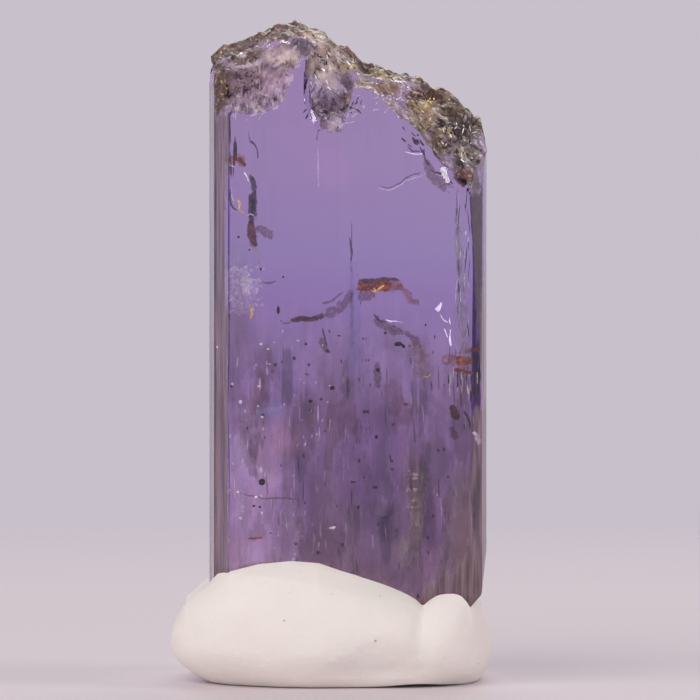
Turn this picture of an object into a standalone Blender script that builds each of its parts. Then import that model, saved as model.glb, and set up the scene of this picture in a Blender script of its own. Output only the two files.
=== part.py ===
"""A rough tanzanite crystal standing upright in a blob of white mounting putty.

Run it with blender --background --python part.py, or from the text editor. The named sizes are in
millimetres and the meshes in metres. The origin is the middle of the putty's flat underside, +Z is up, and
the broad front face of the crystal looks along -Y.
"""

import math

import bmesh
import bpy
import numpy as np
from mathutils import Vector

MM = 0.001

# Prism of the crystal: its corners seen from above, anticlockwise from the left end of the front face, and
# the growth strips that its faces are divided into.
PRISM_CORNERS = (
    (-4.50, -3.70),
    (6.38, -3.58),
    (6.66, -1.10),
    (6.50, 1.60),
    (5.90, 3.50),
    (-4.70, 4.15),
    (-5.18, 2.40),
    (-5.42, -0.50),
    (-5.14, -2.70),
)
FRONT_FACE = -3.70
BACK_FACE = 3.90
LEFT_EDGE = -5.42
RIGHT_EDGE = 6.66
BLANK_LOW = 0.5
BLANK_HIGH = 30.0
STRIP_WIDTH = 1.15
STRIP_DEPTH = 0.07
STRIP_RISER = 0.08

# Broken top: heights along its crest and along the rim where its front slope meets the front face.
CREST_LINE = (
    (-5.60, 26.50),
    (-5.20, 27.20),
    (-4.50, 27.75),
    (-2.80, 28.40),
    (-1.50, 28.80),
    (-0.95, 28.45),
    (-0.35, 28.25),
    (0.10, 27.70),
    (0.60, 27.55),
    (1.30, 26.85),
    (2.05, 26.80),
    (3.95, 26.00),
    (5.50, 25.05),
    (6.40, 24.20),
    (6.80, 22.30),
)
FRONT_RIM = (
    (-5.60, 25.60),
    (-4.50, 26.40),
    (-3.00, 26.90),
    (-2.60, 27.50),
    (-0.40, 27.60),
    (0.60, 26.40),
    (1.20, 25.80),
    (2.20, 24.90),
    (3.20, 24.10),
    (4.30, 22.80),
    (5.20, 22.00),
    (6.50, 21.10),
)
CREST_Y = 0.70
CREST_SWAY = 0.80
FRONT_SLOPE_BEND = 1.15
BACK_DROP = 1.70
TOP_LIFT = 0.27

# Etch pits as (pitch, depth, seed), and how far their square plan is turned.
TOP_PITS = ((1.70, 0.50, 3), (0.80, 0.30, 4))
FOOT_PITS = ((1.80, 0.40, 8),)
PIT_TURN = 0.45

# Conchoidal chips out of the edge of the top: centre and radii of each hollow, and how rough they are.
CHIPS = (
    ((-3.55, -4.35, 25.55), (1.95, 1.10, 1.50)),
    ((-0.20, -4.30, 25.60), (1.25, 1.25, 2.30)),
    ((5.60, -4.20, 22.40), (1.30, 1.10, 1.60)),
    ((-5.75, -1.60, 26.60), (0.80, 1.50, 1.10)),
)
CHIP_ROUGHNESS = 0.07

# Bevel along the upper right edge, through three points, and the etched groove beside it.
BEVEL_PLANE = ((5.72, -3.70, 22.50), (6.40, -3.56, 12.20), (6.52, -2.20, 22.50))
GROOVE_X = 5.36
GROOVE_Y = -3.78
GROOVE_HEIGHTS = (12.6, 14.2, 15.7, 17.1, 18.7, 20.2)
GROOVE_RADII = (0.26, 0.20, 1.00)

# Broken foot inside the putty, a little higher on the right, and the two breaks that round its right corner.
FOOT_LEFT = 2.40
FOOT_RIGHT = 2.70
CORNER_BREAKS = (
    ((6.70, -1.00, 5.90), (6.36, -1.00, 3.60), (6.74, 1.00, 5.90)),
    ((6.44, -1.00, 4.10), (5.85, -1.00, 3.35), (6.40, 1.00, 4.00)),
)

# Grids of the broken surfaces: half width, half depth and cells along each.
GRID_HALF = (7.6, 5.4)
TOP_CELLS = (50, 35)
FOOT_CELLS = (18, 14)

# Putty: half sizes above and below its widest line, and the power of its plan there and at its foot, where
# 2 is an ellipse and more is squarer.
PUTTY_HALF_WIDTH = 6.92
PUTTY_FRONT_DEPTH = 5.60
PUTTY_BACK_DEPTH = 6.20
PUTTY_RISE = 3.90
PUTTY_SINK = 2.75
PUTTY_RIGHT_SINK = 4.20
PUTTY_WAIST = 1.60
PUTTY_WAIST_TILT = 0.15
PUTTY_POWER = 3.4
PUTTY_BACK_POWER = 5.0
PUTTY_LEFT_FOOT_POWER = 2.3
PUTTY_RIGHT_FOOT_POWER = 1.6
PUTTY_RINGS = (60, 30)
SOCKET_GAP = 0.30

# Height of the putty's lip along the front and back of the crystal, with the dip where its two lobes meet.
FRONT_LIP = (
    (-7.00, 3.40),
    (-5.30, 4.55),
    (-4.40, 5.05),
    (-3.10, 5.28),
    (-1.80, 5.42),
    (-0.60, 5.33),
    (0.90, 4.98),
    (2.20, 4.46),
    (3.40, 3.84),
    (3.95, 3.58),
    (4.45, 3.96),
    (4.90, 4.05),
    (5.60, 3.80),
    (6.20, 3.40),
    (7.00, 2.60),
)
BACK_LIP = (
    (-7.00, 2.90),
    (-5.20, 4.10),
    (-3.10, 4.80),
    (-1.00, 4.85),
    (1.00, 4.45),
    (2.60, 3.85),
    (3.90, 3.35),
    (5.20, 3.40),
    (6.00, 3.20),
    (7.00, 2.50),
)
CREASE_X = 3.95
CREASE_DEPTH = 0.34
FOLD_X = -2.60
FOLD_DEPTH = 0.22
LUMP_HEIGHTS = (0.09, 0.05)


def clear_scene():
    for thing in list(bpy.data.objects):
        bpy.data.objects.remove(thing, do_unlink=True)


def new_collection(name):
    collection = bpy.data.collections.new(name)
    bpy.context.scene.collection.children.link(collection)
    return collection


def new_material(name, colour, roughness, transmission=0.0, ior=1.45):
    material = bpy.data.materials.new(name)
    material.use_nodes = True
    shader = material.node_tree.nodes["Principled BSDF"]
    shader.inputs["Base Color"].default_value = (*colour, 1.0)
    shader.inputs["Metallic"].default_value = 0.0
    shader.inputs["Roughness"].default_value = roughness
    shader.inputs["Transmission Weight"].default_value = transmission
    shader.inputs["IOR"].default_value = ior
    material.diffuse_color = (*colour, 1.0)
    return material


def add_piece(name, mesh, collection, material):
    piece = bpy.data.objects.new(name, mesh)
    mesh.materials.append(material)
    collection.objects.link(piece)
    return piece


def add_cutter(name, mesh, collection):
    cutter = bpy.data.objects.new(name, mesh)
    cutter.hide_render = True
    cutter.display_type = "WIRE"
    collection.objects.link(cutter)
    return cutter


def cut(piece, cutter):
    boolean = piece.modifiers.new(cutter.name, "BOOLEAN")
    boolean.operation = "DIFFERENCE"
    boolean.solver = "EXACT"
    boolean.object = cutter


def mesh_of(name, shape):
    mesh = bpy.data.meshes.new(name)
    shape.to_mesh(mesh)
    shape.free()
    return mesh


def offset_corners(corners, distance):
    """The corners of a convex outline whose sides are all moved outwards by distance."""
    points = np.array(corners)
    along = np.roll(points, -1, axis=0) - points
    along /= np.linalg.norm(along, axis=1)[:, None]
    outward = np.stack([along[:, 1], -along[:, 0]], axis=1)
    reach = (outward * points).sum(axis=1) + distance
    return [
        np.linalg.solve(outward[[side - 1, side]], reach[[side - 1, side]])
        for side in range(len(points))
    ]


def striated_outline(corners, seed=11):
    """The corners joined by growth strips: flat bands of uneven width, each set in by its own small depth."""
    rng = np.random.default_rng(seed)
    outline = []
    for start, end in zip(np.array(corners), np.roll(corners, -1, axis=0)):
        length = np.linalg.norm(end - start)
        inward = np.array([start[1] - end[1], end[0] - start[0]]) / length
        strips = max(1, round(length / STRIP_WIDTH))
        edges = (np.arange(1, strips) + rng.uniform(-0.3, 0.3, strips - 1)) / strips
        depths = rng.uniform(0.15, 1.0, strips) * STRIP_DEPTH
        riser = STRIP_RISER / length
        outline.append(start)
        for edge, before, after in zip(edges, depths[:-1], depths[1:]):
            outline.append(start + (end - start) * (edge - riser) + inward * before)
            outline.append(start + (end - start) * (edge + riser) + inward * after)
    return outline


def prism_mesh(name, outline):
    """A flat outline extruded over the whole height of the blank, as a closed mesh."""
    curve = bpy.data.curves.new(name, "CURVE")
    curve.dimensions = "2D"
    curve.fill_mode = "BOTH"
    curve.extrude = (BLANK_HIGH - BLANK_LOW) / 2 * MM
    spline = curve.splines.new("POLY")
    spline.points.add(len(outline) - 1)
    for point, (x, y) in zip(spline.points, outline):
        point.co = (x * MM, y * MM, 0.0, 1.0)
    spline.use_cyclic_u = True
    guide = bpy.data.objects.new(name, curve)
    guide.location.z = (BLANK_HIGH + BLANK_LOW) / 2 * MM
    bpy.context.scene.collection.objects.link(guide)
    bpy.context.view_layer.update()
    evaluated = guide.evaluated_get(bpy.context.evaluated_depsgraph_get())
    extruded = bpy.data.meshes.new_from_object(evaluated)
    extruded.transform(guide.matrix_world)
    bpy.data.objects.remove(guide, do_unlink=True)
    bpy.data.curves.remove(curve)
    shape = bmesh.new()
    shape.from_mesh(extruded)
    bpy.data.meshes.remove(extruded)
    bmesh.ops.remove_doubles(shape, verts=shape.verts, dist=0.001 * MM)
    bmesh.ops.recalc_face_normals(shape, faces=shape.faces)
    return mesh_of(name, shape)


def terrain_block(name, cells, height, far):
    """A block wider than the crystal: one face is a grid set to height(x, y), and its far side is flat."""
    block = bmesh.new()
    bmesh.ops.create_grid(block, x_segments=cells[0], y_segments=cells[1], size=1.0)
    plan = np.array([v.co.xy for v in block.verts]) * GRID_HALF
    levels = height(plan[:, 0], plan[:, 1])
    for v, (x, y), z in zip(block.verts, plan, levels):
        v.co = Vector((x, y, z)) * MM
    grown = bmesh.ops.extrude_face_region(block, geom=block.faces[:])
    for item in grown["geom"]:
        if isinstance(item, bmesh.types.BMVert):
            item.co.z = far * MM
    bmesh.ops.recalc_face_normals(block, faces=block.faces)
    return mesh_of(name, block)


def hollow_mesh(name, centre, radii, subdivisions, roughness=0.0, seed=5):
    """A faceted ellipsoid with its corners moved in and out, which leaves the shell-like hollow of a chip."""
    rng = np.random.default_rng(seed)
    ball = bmesh.new()
    bmesh.ops.create_icosphere(ball, subdivisions=subdivisions, radius=1.0)
    for v in ball.verts:
        swell = 1 + rng.uniform(-roughness, roughness)
        v.co = Vector([c + r * part * swell for c, r, part in zip(centre, radii, v.co)]) * MM
    return mesh_of(name, ball)


def slab_mesh(name, points, clearance=0.0, side=30.0):
    """A cube on the side of the plane through three points where they turn anticlockwise, clear of it."""
    first, second, third = (Vector(p) for p in points)
    normal = (second - first).cross(third - first).normalized()
    turn = Vector((0, 0, 1)).rotation_difference(normal).to_matrix()
    block = bmesh.new()
    bmesh.ops.create_cube(block, size=side)
    for v in block.verts:
        v.co = (turn @ v.co + first + normal * (clearance + side / 2)) * MM
    return mesh_of(name, block)


def pit_depth(x, y, pitch, depth, seed):
    """Depth of square etch pits, greatest at the seeds of a jittered lattice and nothing between them."""
    rng = np.random.default_rng(seed)
    lattice = np.arange(-9.0, 9.0, pitch)
    seeds = np.stack(np.meshgrid(lattice, lattice), axis=-1).reshape(-1, 2)
    seeds = seeds + rng.uniform(-0.42, 0.42, seeds.shape) * pitch
    size = rng.uniform(0.55, 1.0, len(seeds))
    across = np.subtract.outer(x, seeds[:, 0])
    along = np.subtract.outer(y, seeds[:, 1])
    east = across * math.cos(PIT_TURN) + along * math.sin(PIT_TURN)
    north = along * math.cos(PIT_TURN) - across * math.sin(PIT_TURN)
    away = np.maximum(np.abs(east), np.abs(north)) / (0.75 * pitch * size)
    return depth * np.clip((size * (1 - away)).max(axis=-1), 0, None)


def top_height(x, y):
    """The broken top: a roof from the crest line down to the front rim and the back, with etch pits in it."""
    crest = np.interp(x, *zip(*CREST_LINE))
    rim = np.interp(x, *zip(*FRONT_RIM))
    crest_y = CREST_Y + CREST_SWAY * np.sin(0.55 * x + 0.8)
    forward = (crest_y - y) / (crest_y - FRONT_FACE)
    front_fall = (crest - rim) * np.clip(forward, 0, None) ** FRONT_SLOPE_BEND
    back_fall = BACK_DROP * np.clip(-forward, 0, None)
    return crest - front_fall - back_fall + TOP_LIFT - sum(pit_depth(x, y, *pits) for pits in TOP_PITS)


def foot_height(x, y):
    """The broken foot: a plane that rises from the left to the right, with shallow breaks."""
    rise = (FOOT_RIGHT - FOOT_LEFT) * (x - LEFT_EDGE) / (RIGHT_EDGE - LEFT_EDGE)
    return FOOT_LEFT + rise + sum(pit_depth(x, y, *pits) for pits in FOOT_PITS)


def socket_floor(x, y):
    return foot_height(x, y) - SOCKET_GAP


def soft_bump(distance, width):
    return np.exp(-((distance / width) ** 2))


def plan_share(x, y, power):
    """How far a point is from the middle of the putty's rounded plan, where 1 is its widest outline."""
    half_depth = np.where(y < 0, PUTTY_FRONT_DEPTH, PUTTY_BACK_DEPTH)
    return (np.abs(x / PUTTY_HALF_WIDTH) ** power + np.abs(y / half_depth) ** power) ** (1 / power)


def lip_lift(x, waist, face, lip):
    """How far the ball's upper half moves up, so that it meets a face of the crystal at that lip line."""
    at_face = np.sqrt(np.clip(1 - plan_share(x, face, PUTTY_POWER) ** 2, 0, 1))
    return np.interp(x, *zip(*lip)) - waist - PUTTY_RISE * at_face


def putty_surface(directions):
    """Unit directions to points of the putty: a squashed ball whose plan is squarer above than at its foot.

    In front of the crystal and behind it the top is moved to the lip lines, and a crease, a fold and soft
    lumps are pressed into the side.
    """
    dx, dy, dz = directions.T
    side = 0.5 + 0.5 * dx
    sink = PUTTY_SINK + (PUTTY_RIGHT_SINK - PUTTY_SINK) * np.clip(dx, 0, 1) ** 3
    foot_power = PUTTY_LEFT_FOOT_POWER + (PUTTY_RIGHT_FOOT_POWER - PUTTY_LEFT_FOOT_POWER) * side
    top_power = PUTTY_POWER + (PUTTY_BACK_POWER - PUTTY_POWER) * np.clip(1.6 * dy, 0, 1)
    power = foot_power + (top_power - foot_power) * np.clip(0.6 + 1.2 * dz, 0, 1)
    half_height = np.where(dz > 0, PUTTY_RISE, sink)
    reach = 1 / np.sqrt(plan_share(dx, dy, power) ** 2 + (dz / half_height) ** 2)
    x, y, rise = directions.T * reach
    waist = PUTTY_WAIST - PUTTY_WAIST_TILT * dx
    z = waist + rise
    front = np.clip((-1.0 - y) / 2.0, 0, 1)
    back = np.clip((y - 1.0) / 2.0, 0, 1)
    upper = np.clip(dz * 2.5, 0, 1)
    z += upper * front * lip_lift(x, waist, FRONT_FACE, FRONT_LIP)
    z += upper * back * lip_lift(x, waist, BACK_FACE, BACK_LIP)
    crease = soft_bump(x - CREASE_X - 0.10 * (z - 2.0), 0.60) * np.clip((z - 0.6) / 2.2, 0, 1)
    fold = soft_bump(x - FOLD_X, 0.80) * np.clip((z - 0.8) / 2.0, 0, 1)
    outward = LUMP_HEIGHTS[0] * np.sin(5.1 * dx + 3.3 * dz + 0.6) * np.cos(4.3 * dy - 2.2 * dz)
    outward += LUMP_HEIGHTS[1] * np.sin(9.2 * dx * dy + 7.0 * dz + 1.1)
    outward -= CREASE_DEPTH * front * crease + FOLD_DEPTH * back * fold
    level = np.hypot(x, y) + 1e-9
    return np.stack([x + outward * x / level, y + outward * y / level, z], axis=1)


def build_crystal(collection, cutters):
    """The prism blank, broken at its top and foot, bevelled, chipped, grooved and broken at one corner."""
    material = new_material("clear_violet_crystal", (0.36, 0.26, 0.60), 0.08, 1.0, 1.69)
    blank = prism_mesh("tanzanite_crystal", striated_outline(PRISM_CORNERS))
    crystal = add_piece("tanzanite_crystal", blank, collection, material)
    tools = {
        "broken_top": terrain_block("broken_top", TOP_CELLS, top_height, BLANK_HIGH + 4),
        "broken_foot": terrain_block("broken_foot", FOOT_CELLS, foot_height, BLANK_LOW - 4),
        "bevel": slab_mesh("bevel", BEVEL_PLANE),
    }
    for number, (centre, radii) in enumerate(CHIPS, 1):
        name = f"chip_{number}"
        tools[name] = hollow_mesh(name, centre, radii, 3, CHIP_ROUGHNESS, seed=number)
    for number, height in enumerate(GROOVE_HEIGHTS, 1):
        name = f"groove_pit_{number}"
        tools[name] = hollow_mesh(name, (GROOVE_X, GROOVE_Y, height), GROOVE_RADII, 2)
    for number, plane in enumerate(CORNER_BREAKS, 1):
        name = f"corner_break_{number}"
        tools[name] = slab_mesh(name, plane)
    for name, mesh in tools.items():
        cut(crystal, add_cutter(name, mesh, cutters))


def build_putty(collection, cutters):
    """A ball moved to the putty's surface, cut flat underneath, with the socket that the foot left in it."""
    material = new_material("white_putty", (0.80, 0.71, 0.67), 0.62)
    ball = bmesh.new()
    bmesh.ops.create_uvsphere(ball, u_segments=PUTTY_RINGS[0], v_segments=PUTTY_RINGS[1], radius=1.0)
    mesh = mesh_of("mounting_putty", ball)
    directions = np.empty(len(mesh.vertices) * 3)
    mesh.vertices.foreach_get("co", directions)
    points = putty_surface(directions.reshape(-1, 3)) * MM
    mesh.vertices.foreach_set("co", points.ravel())
    mesh.shade_smooth()
    mesh.set_sharp_from_angle(angle=math.radians(40))
    putty = add_piece("mounting_putty", mesh, collection, material)
    underside = slab_mesh("flat_underside", ((0, 0, 0), (0, 1, 0), (1, 0, 0)))
    cut(putty, add_cutter("flat_underside", underside, cutters))
    socket = add_cutter("socket", prism_mesh("socket", offset_corners(PRISM_CORNERS, SOCKET_GAP)), cutters)
    floor = terrain_block("socket_floor", FOOT_CELLS, socket_floor, BLANK_LOW - 4)
    for number, plane in enumerate(CORNER_BREAKS, 1):
        name = f"socket_corner_{number}"
        cut(socket, add_cutter(name, slab_mesh(name, plane, SOCKET_GAP), cutters))
    cut(socket, add_cutter("socket_floor", floor, cutters))
    cut(putty, socket)


clear_scene()
model = new_collection("tanzanite_crystal_on_putty")
helpers = new_collection("cutters")
build_crystal(model, helpers)
build_putty(model, helpers)
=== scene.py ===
"""Looks of a rough tanzanite crystal in a blob of white mounting putty, built round its CAD model.

Lengths in the tables are millimetres, and MM turns them into metres. The broad front face looks along -Y.
"""

import math

import bpy
import numpy as np
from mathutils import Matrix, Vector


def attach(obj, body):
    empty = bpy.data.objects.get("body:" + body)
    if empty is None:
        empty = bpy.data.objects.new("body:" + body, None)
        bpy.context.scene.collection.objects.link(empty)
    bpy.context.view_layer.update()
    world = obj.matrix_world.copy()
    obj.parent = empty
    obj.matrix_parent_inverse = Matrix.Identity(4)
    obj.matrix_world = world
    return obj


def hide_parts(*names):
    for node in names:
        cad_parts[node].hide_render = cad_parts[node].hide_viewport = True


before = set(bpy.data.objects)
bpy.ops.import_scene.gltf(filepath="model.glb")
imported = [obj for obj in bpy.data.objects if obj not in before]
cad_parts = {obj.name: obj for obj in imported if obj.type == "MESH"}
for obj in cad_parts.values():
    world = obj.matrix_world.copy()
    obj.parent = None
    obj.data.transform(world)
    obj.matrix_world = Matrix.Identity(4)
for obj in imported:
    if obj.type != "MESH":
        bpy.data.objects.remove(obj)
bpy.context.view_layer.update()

# The view: a long lens, level with the middle of the crystal and square to its front face.
MM = 0.001
VIEW_X = 0.72
VIEW_HEIGHT = 14.37
VIEW_DISTANCE = 170.0
PHOTO_PIXELS = 700
FOCAL_PIXELS = 3893.0
SENSOR_WIDTH = 36.0

lens = bpy.data.cameras.new("long_lens")
lens.sensor_width = SENSOR_WIDTH
lens.lens = SENSOR_WIDTH * FOCAL_PIXELS / PHOTO_PIXELS
lens.clip_start = 0.01
camera = bpy.data.objects.new("camera", lens)
camera.location = (VIEW_X * MM, -VIEW_DISTANCE * MM, VIEW_HEIGHT * MM)
camera.rotation_euler = (math.pi / 2, 0, 0)
bpy.context.scene.collection.objects.link(camera)
bpy.context.scene.camera = camera


def seen_at(column, row, depth):
    """The x and z in millimetres of a pixel of the photograph, for something at that depth y."""
    scale = (VIEW_DISTANCE + depth) / FOCAL_PIXELS
    middle = PHOTO_PIXELS / 2
    return VIEW_X + (column - middle) * scale, VIEW_HEIGHT - (row - middle) * scale


# Node wiring, used by every material below. A Value is a socket that can be added, multiplied and compared
# like a number, and a Finish is one material with its shader.
class Value:
    """A number socket of a material. Each operator adds its Math node and returns that node's socket."""

    def __init__(self, finish, socket):
        self.finish = finish
        self.socket = socket

    def math(self, operation, *others, clamp=False):
        return self.finish.node("Math", [self, *others], operation=operation, use_clamp=clamp)

    def __add__(self, other):
        return self.math("ADD", other)

    def __mul__(self, other):
        return self.math("MULTIPLY", other)

    def __sub__(self, other):
        return self.math("SUBTRACT", other)

    def __rsub__(self, other):
        return self.finish.node("Math", [other, self], operation="SUBTRACT")

    def __pow__(self, other):
        return self.math("POWER", other)

    __radd__ = __add__
    __rmul__ = __mul__

    def between(self, low, high):
        """0 below low, 1 above high and a smooth rise between them, or a fall where low is the greater."""
        rising = low < high
        ends = [self, min(low, high), max(low, high), 0.0 if rising else 1.0, 1.0 if rising else 0.0]
        return self.finish.node("MapRange", ends, interpolation_type="SMOOTHSTEP")

    def clipped(self):
        return self.math("ADD", 0.0, clamp=True)


class Finish:
    """A material with one Principled shader. node() adds any node, its settings first and then its inputs."""

    def __init__(self, name, **shader):
        self.material = bpy.data.materials.new(name)
        self.material.use_nodes = True
        self.tree = self.material.node_tree
        self.shader = self.tree.nodes["Principled BSDF"]
        self.output = self.tree.nodes["Material Output"]
        for socket, value in shader.items():
            self.shader.inputs[socket.replace("_", " ")].default_value = value

    def node(self, kind, inputs=(), output=0, **settings):
        made = self.tree.nodes.new("ShaderNode" + kind)
        for setting, value in settings.items():
            setattr(made, setting, value)
        named = inputs.items() if isinstance(inputs, dict) else enumerate(inputs)
        for key, value in named:
            self.feed(made.inputs[key], value)
        return Value(self, made.outputs[output])

    def feed(self, socket, value):
        if isinstance(value, Value):
            self.tree.links.new(value.socket, socket)
        else:
            socket.default_value = value

    def set(self, socket, value):
        self.feed(self.shader.inputs[socket], value)

    def place(self, scale=(1, 1, 1)):
        """Object coordinates in millimetres, stretched by scale."""
        coordinates = self.node("TexCoord", output="Object")
        per_metre = [1000.0 * share for share in scale]
        return self.node("VectorMath", [coordinates, per_metre], operation="MULTIPLY")

    def noise(self, place, scale=1.0, detail=3.0, roughness=0.5, distortion=0.0, output="Fac"):
        inputs = {
            "Vector": place,
            "Scale": scale,
            "Detail": detail,
            "Roughness": roughness,
            "Distortion": distortion,
        }
        return self.node("TexNoise", inputs, output=output)

    def cells(self, place, scale=1.0, output="Distance", feature="F1", randomness=1.0):
        inputs = {"Vector": place, "Scale": scale, "Randomness": randomness}
        return self.node("TexVoronoi", inputs, output=output, feature=feature)

    def blend(self, share, first, second, blend_type="MIX"):
        """Two colours mixed by share, or blended by another mode."""
        mix = self.tree.nodes.new("ShaderNodeMix")
        mix.data_type = "RGBA"
        mix.blend_type = blend_type
        self.feed(mix.inputs[0], share)
        self.feed(mix.inputs[6], opaque(first))
        self.feed(mix.inputs[7], opaque(second))
        return Value(self, mix.outputs[2])

    def ramp(self, share, stops):
        """A colour ramp through (position, colour) stops."""
        made = self.tree.nodes.new("ShaderNodeValToRGB")
        while len(made.color_ramp.elements) < len(stops):
            made.color_ramp.elements.new(0.5)
        for element, (position, colour) in zip(made.color_ramp.elements, stops):
            element.position = position
            element.color = opaque(colour)
        self.feed(made.inputs[0], share)
        return Value(self, made.outputs[0])

    def warped(self, place, scale, reach):
        """The place pushed about by a soft noise, up to that reach."""
        push = self.noise(place, scale, detail=2.0, output="Color")
        centred = self.node("VectorMath", [push, (0.5, 0.5, 0.5)], operation="SUBTRACT")
        moved = self.node("VectorMath", {0: centred, "Scale": 2 * reach}, operation="SCALE")
        return self.node("VectorMath", [place, moved], operation="ADD")

    def leaning(self, place, degrees, scale):
        """The place turned about Y and then stretched, for strokes that lean."""
        inputs = {"Vector": place, "Angle": math.radians(degrees)}
        turned = self.node("VectorRotate", inputs, rotation_type="Y_AXIS")
        return self.node("VectorMath", [turned, scale], operation="MULTIPLY")

    def shards(self, place, scale):
        """A random number from 0 to 1 for each cell."""
        return self.node("SeparateXYZ", [self.cells(place, scale, output="Color")], output="X")

    def attribute(self, name, output="Fac"):
        return self.node("Attribute", output=output, attribute_name=name)

    def coat_over(self, share, colour, normal, **shader):
        """A second, opaque Principled shader that lies over the first one by share."""
        cover = self.tree.nodes.new("ShaderNodeBsdfPrincipled")
        for socket, value in shader.items():
            cover.inputs[socket.capitalize()].default_value = value
        self.feed(cover.inputs["Base Color"], colour)
        self.feed(cover.inputs["Normal"], normal)
        both = self.tree.nodes.new("ShaderNodeMixShader")
        self.feed(both.inputs[0], share)
        self.tree.links.new(self.shader.outputs[0], both.inputs[1])
        self.tree.links.new(cover.outputs[0], both.inputs[2])
        self.tree.links.new(both.outputs[0], self.output.inputs["Surface"])

    def bump(self, height, distance, strength=1.0):
        """A normal from a height in millimetres."""
        inputs = {"Strength": strength, "Distance": distance * MM, "Height": height}
        return self.node("Bump", inputs)


def opaque(colour):
    """The colour with full opacity, or the socket as it is."""
    return colour if isinstance(colour, Value) else (*colour[:3], 1.0)


def grid_piece(name, points, faces, finish):
    """An object from points in millimetres and an array of quads."""
    mesh = bpy.data.meshes.new(name)
    mesh.from_pydata((points * MM).tolist(), [], list(faces))
    mesh.update()
    mesh.materials.append(finish.material)
    piece = bpy.data.objects.new(name, mesh)
    bpy.context.scene.collection.objects.link(piece)
    return piece


def quads_between(lower, upper):
    """Quads that join two closed rings of point numbers."""
    return np.stack([lower, np.roll(lower, -1), np.roll(upper, -1), upper], axis=1)


def fan(ring, hub):
    """Triangles from a closed ring of point numbers to the point at its middle."""
    return np.stack([ring, np.roll(ring, -1), np.full(len(ring), hub)], axis=1)


# Stage: a pale lilac board with a soft sheen that fades out at its far edge, in front of an even backdrop,
# and four softboxes. The room is darker overhead, which gives the broken facets their dark side.
BACKDROP = (0.578, 0.527, 0.597)
OVERHEAD = (0.10, 0.09, 0.10)
BOARD_RADIUS = 165.0
BOARD_FADE = 110.0
BOARD_COLOUR = (0.785, 0.705, 0.735)

world = bpy.data.worlds.new("room")
bpy.context.scene.world = world
world.use_nodes = True
room = world.node_tree
sky = room.nodes["Background"]
direction = room.nodes.new("ShaderNodeTexCoord")
height = room.nodes.new("ShaderNodeSeparateXYZ")
room.links.new(direction.outputs["Generated"], height.inputs[0])
rise = room.nodes.new("ShaderNodeMapRange")
rise.interpolation_type = "SMOOTHSTEP"
rise.inputs["From Min"].default_value = 0.30
rise.inputs["From Max"].default_value = 0.75
room.links.new(height.outputs["Z"], rise.inputs["Value"])
path = room.nodes.new("ShaderNodeLightPath")
unseen = room.nodes.new("ShaderNodeMath")
unseen.operation = "MULTIPLY_ADD"
room.links.new(path.outputs["Is Camera Ray"], unseen.inputs[0])
unseen.inputs[1].default_value = -1.0
unseen.inputs[2].default_value = 1.0
dim = room.nodes.new("ShaderNodeMath")
dim.operation = "MULTIPLY"
room.links.new(rise.outputs[0], dim.inputs[0])
room.links.new(unseen.outputs[0], dim.inputs[1])
tone = room.nodes.new("ShaderNodeMix")
tone.data_type = "RGBA"
room.links.new(dim.outputs[0], tone.inputs[0])
tone.inputs[6].default_value = opaque(BACKDROP)
tone.inputs[7].default_value = opaque(OVERHEAD)
room.links.new(tone.outputs[2], sky.inputs["Color"])


def softbox(name, place, size, radiance, colour=(1.0, 0.97, 0.95), mirrored=True):
    """An area light of even brightness, turned to the crystal's middle, which may show in reflections."""
    light = bpy.data.lights.new(name, "AREA")
    light.shape = "RECTANGLE"
    light.size, light.size_y = (side * MM for side in size)
    light.energy = radiance * math.pi * light.size * light.size_y
    light.color = colour
    box = bpy.data.objects.new(name, light)
    box.location = [part * MM for part in place]
    aim = np.array([0.0, 0.0, 12.0]) - np.array(place)
    box.rotation_euler = Vector(aim).to_track_quat("-Z", "Y").to_euler()
    box.visible_camera = False
    box.visible_glossy = mirrored
    box.visible_transmission = mirrored
    bpy.context.scene.collection.objects.link(box)


softbox("left_softbox", (-165, -175, 270), (300, 300), 2.25)
softbox("low_softbox", (-150, -240, 20), (200, 40), 7.8, mirrored=False)
softbox("right_softbox", (260, -60, 150), (90, 150), 6.2)
softbox("back_softbox", (40, 230, 260), (220, 90), 6.0)

board_finish = Finish("pale_board", Base_Color=opaque(BOARD_COLOUR), Roughness=0.28, Specular_IOR_Level=0.35)
board_place = board_finish.place()
reach = board_finish.node("VectorMath", [board_place], output="Value", operation="LENGTH")
board_finish.set("Alpha", reach.between(BOARD_RADIUS, BOARD_RADIUS - BOARD_FADE))
grain = board_finish.noise(board_place, 0.05, detail=2.0)
board_finish.set("Roughness", 0.26 + 0.05 * grain)
around = np.linspace(0, 2 * math.pi, 96, endpoint=False)
rings = np.array([0.5, 20.0, 60.0, 110.0, BOARD_RADIUS])
board_points = np.stack(
    [np.outer(rings, np.cos(around)), np.outer(rings, np.sin(around)), np.zeros((5, 96))], axis=-1
).reshape(-1, 3)
ring_numbers = np.arange(5 * 96).reshape(5, 96)
board_faces = np.vstack([quads_between(ring_numbers[n], ring_numbers[n + 1]) for n in range(4)])[:, ::-1]
board = grid_piece("board", board_points, board_faces, board_finish)

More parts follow.
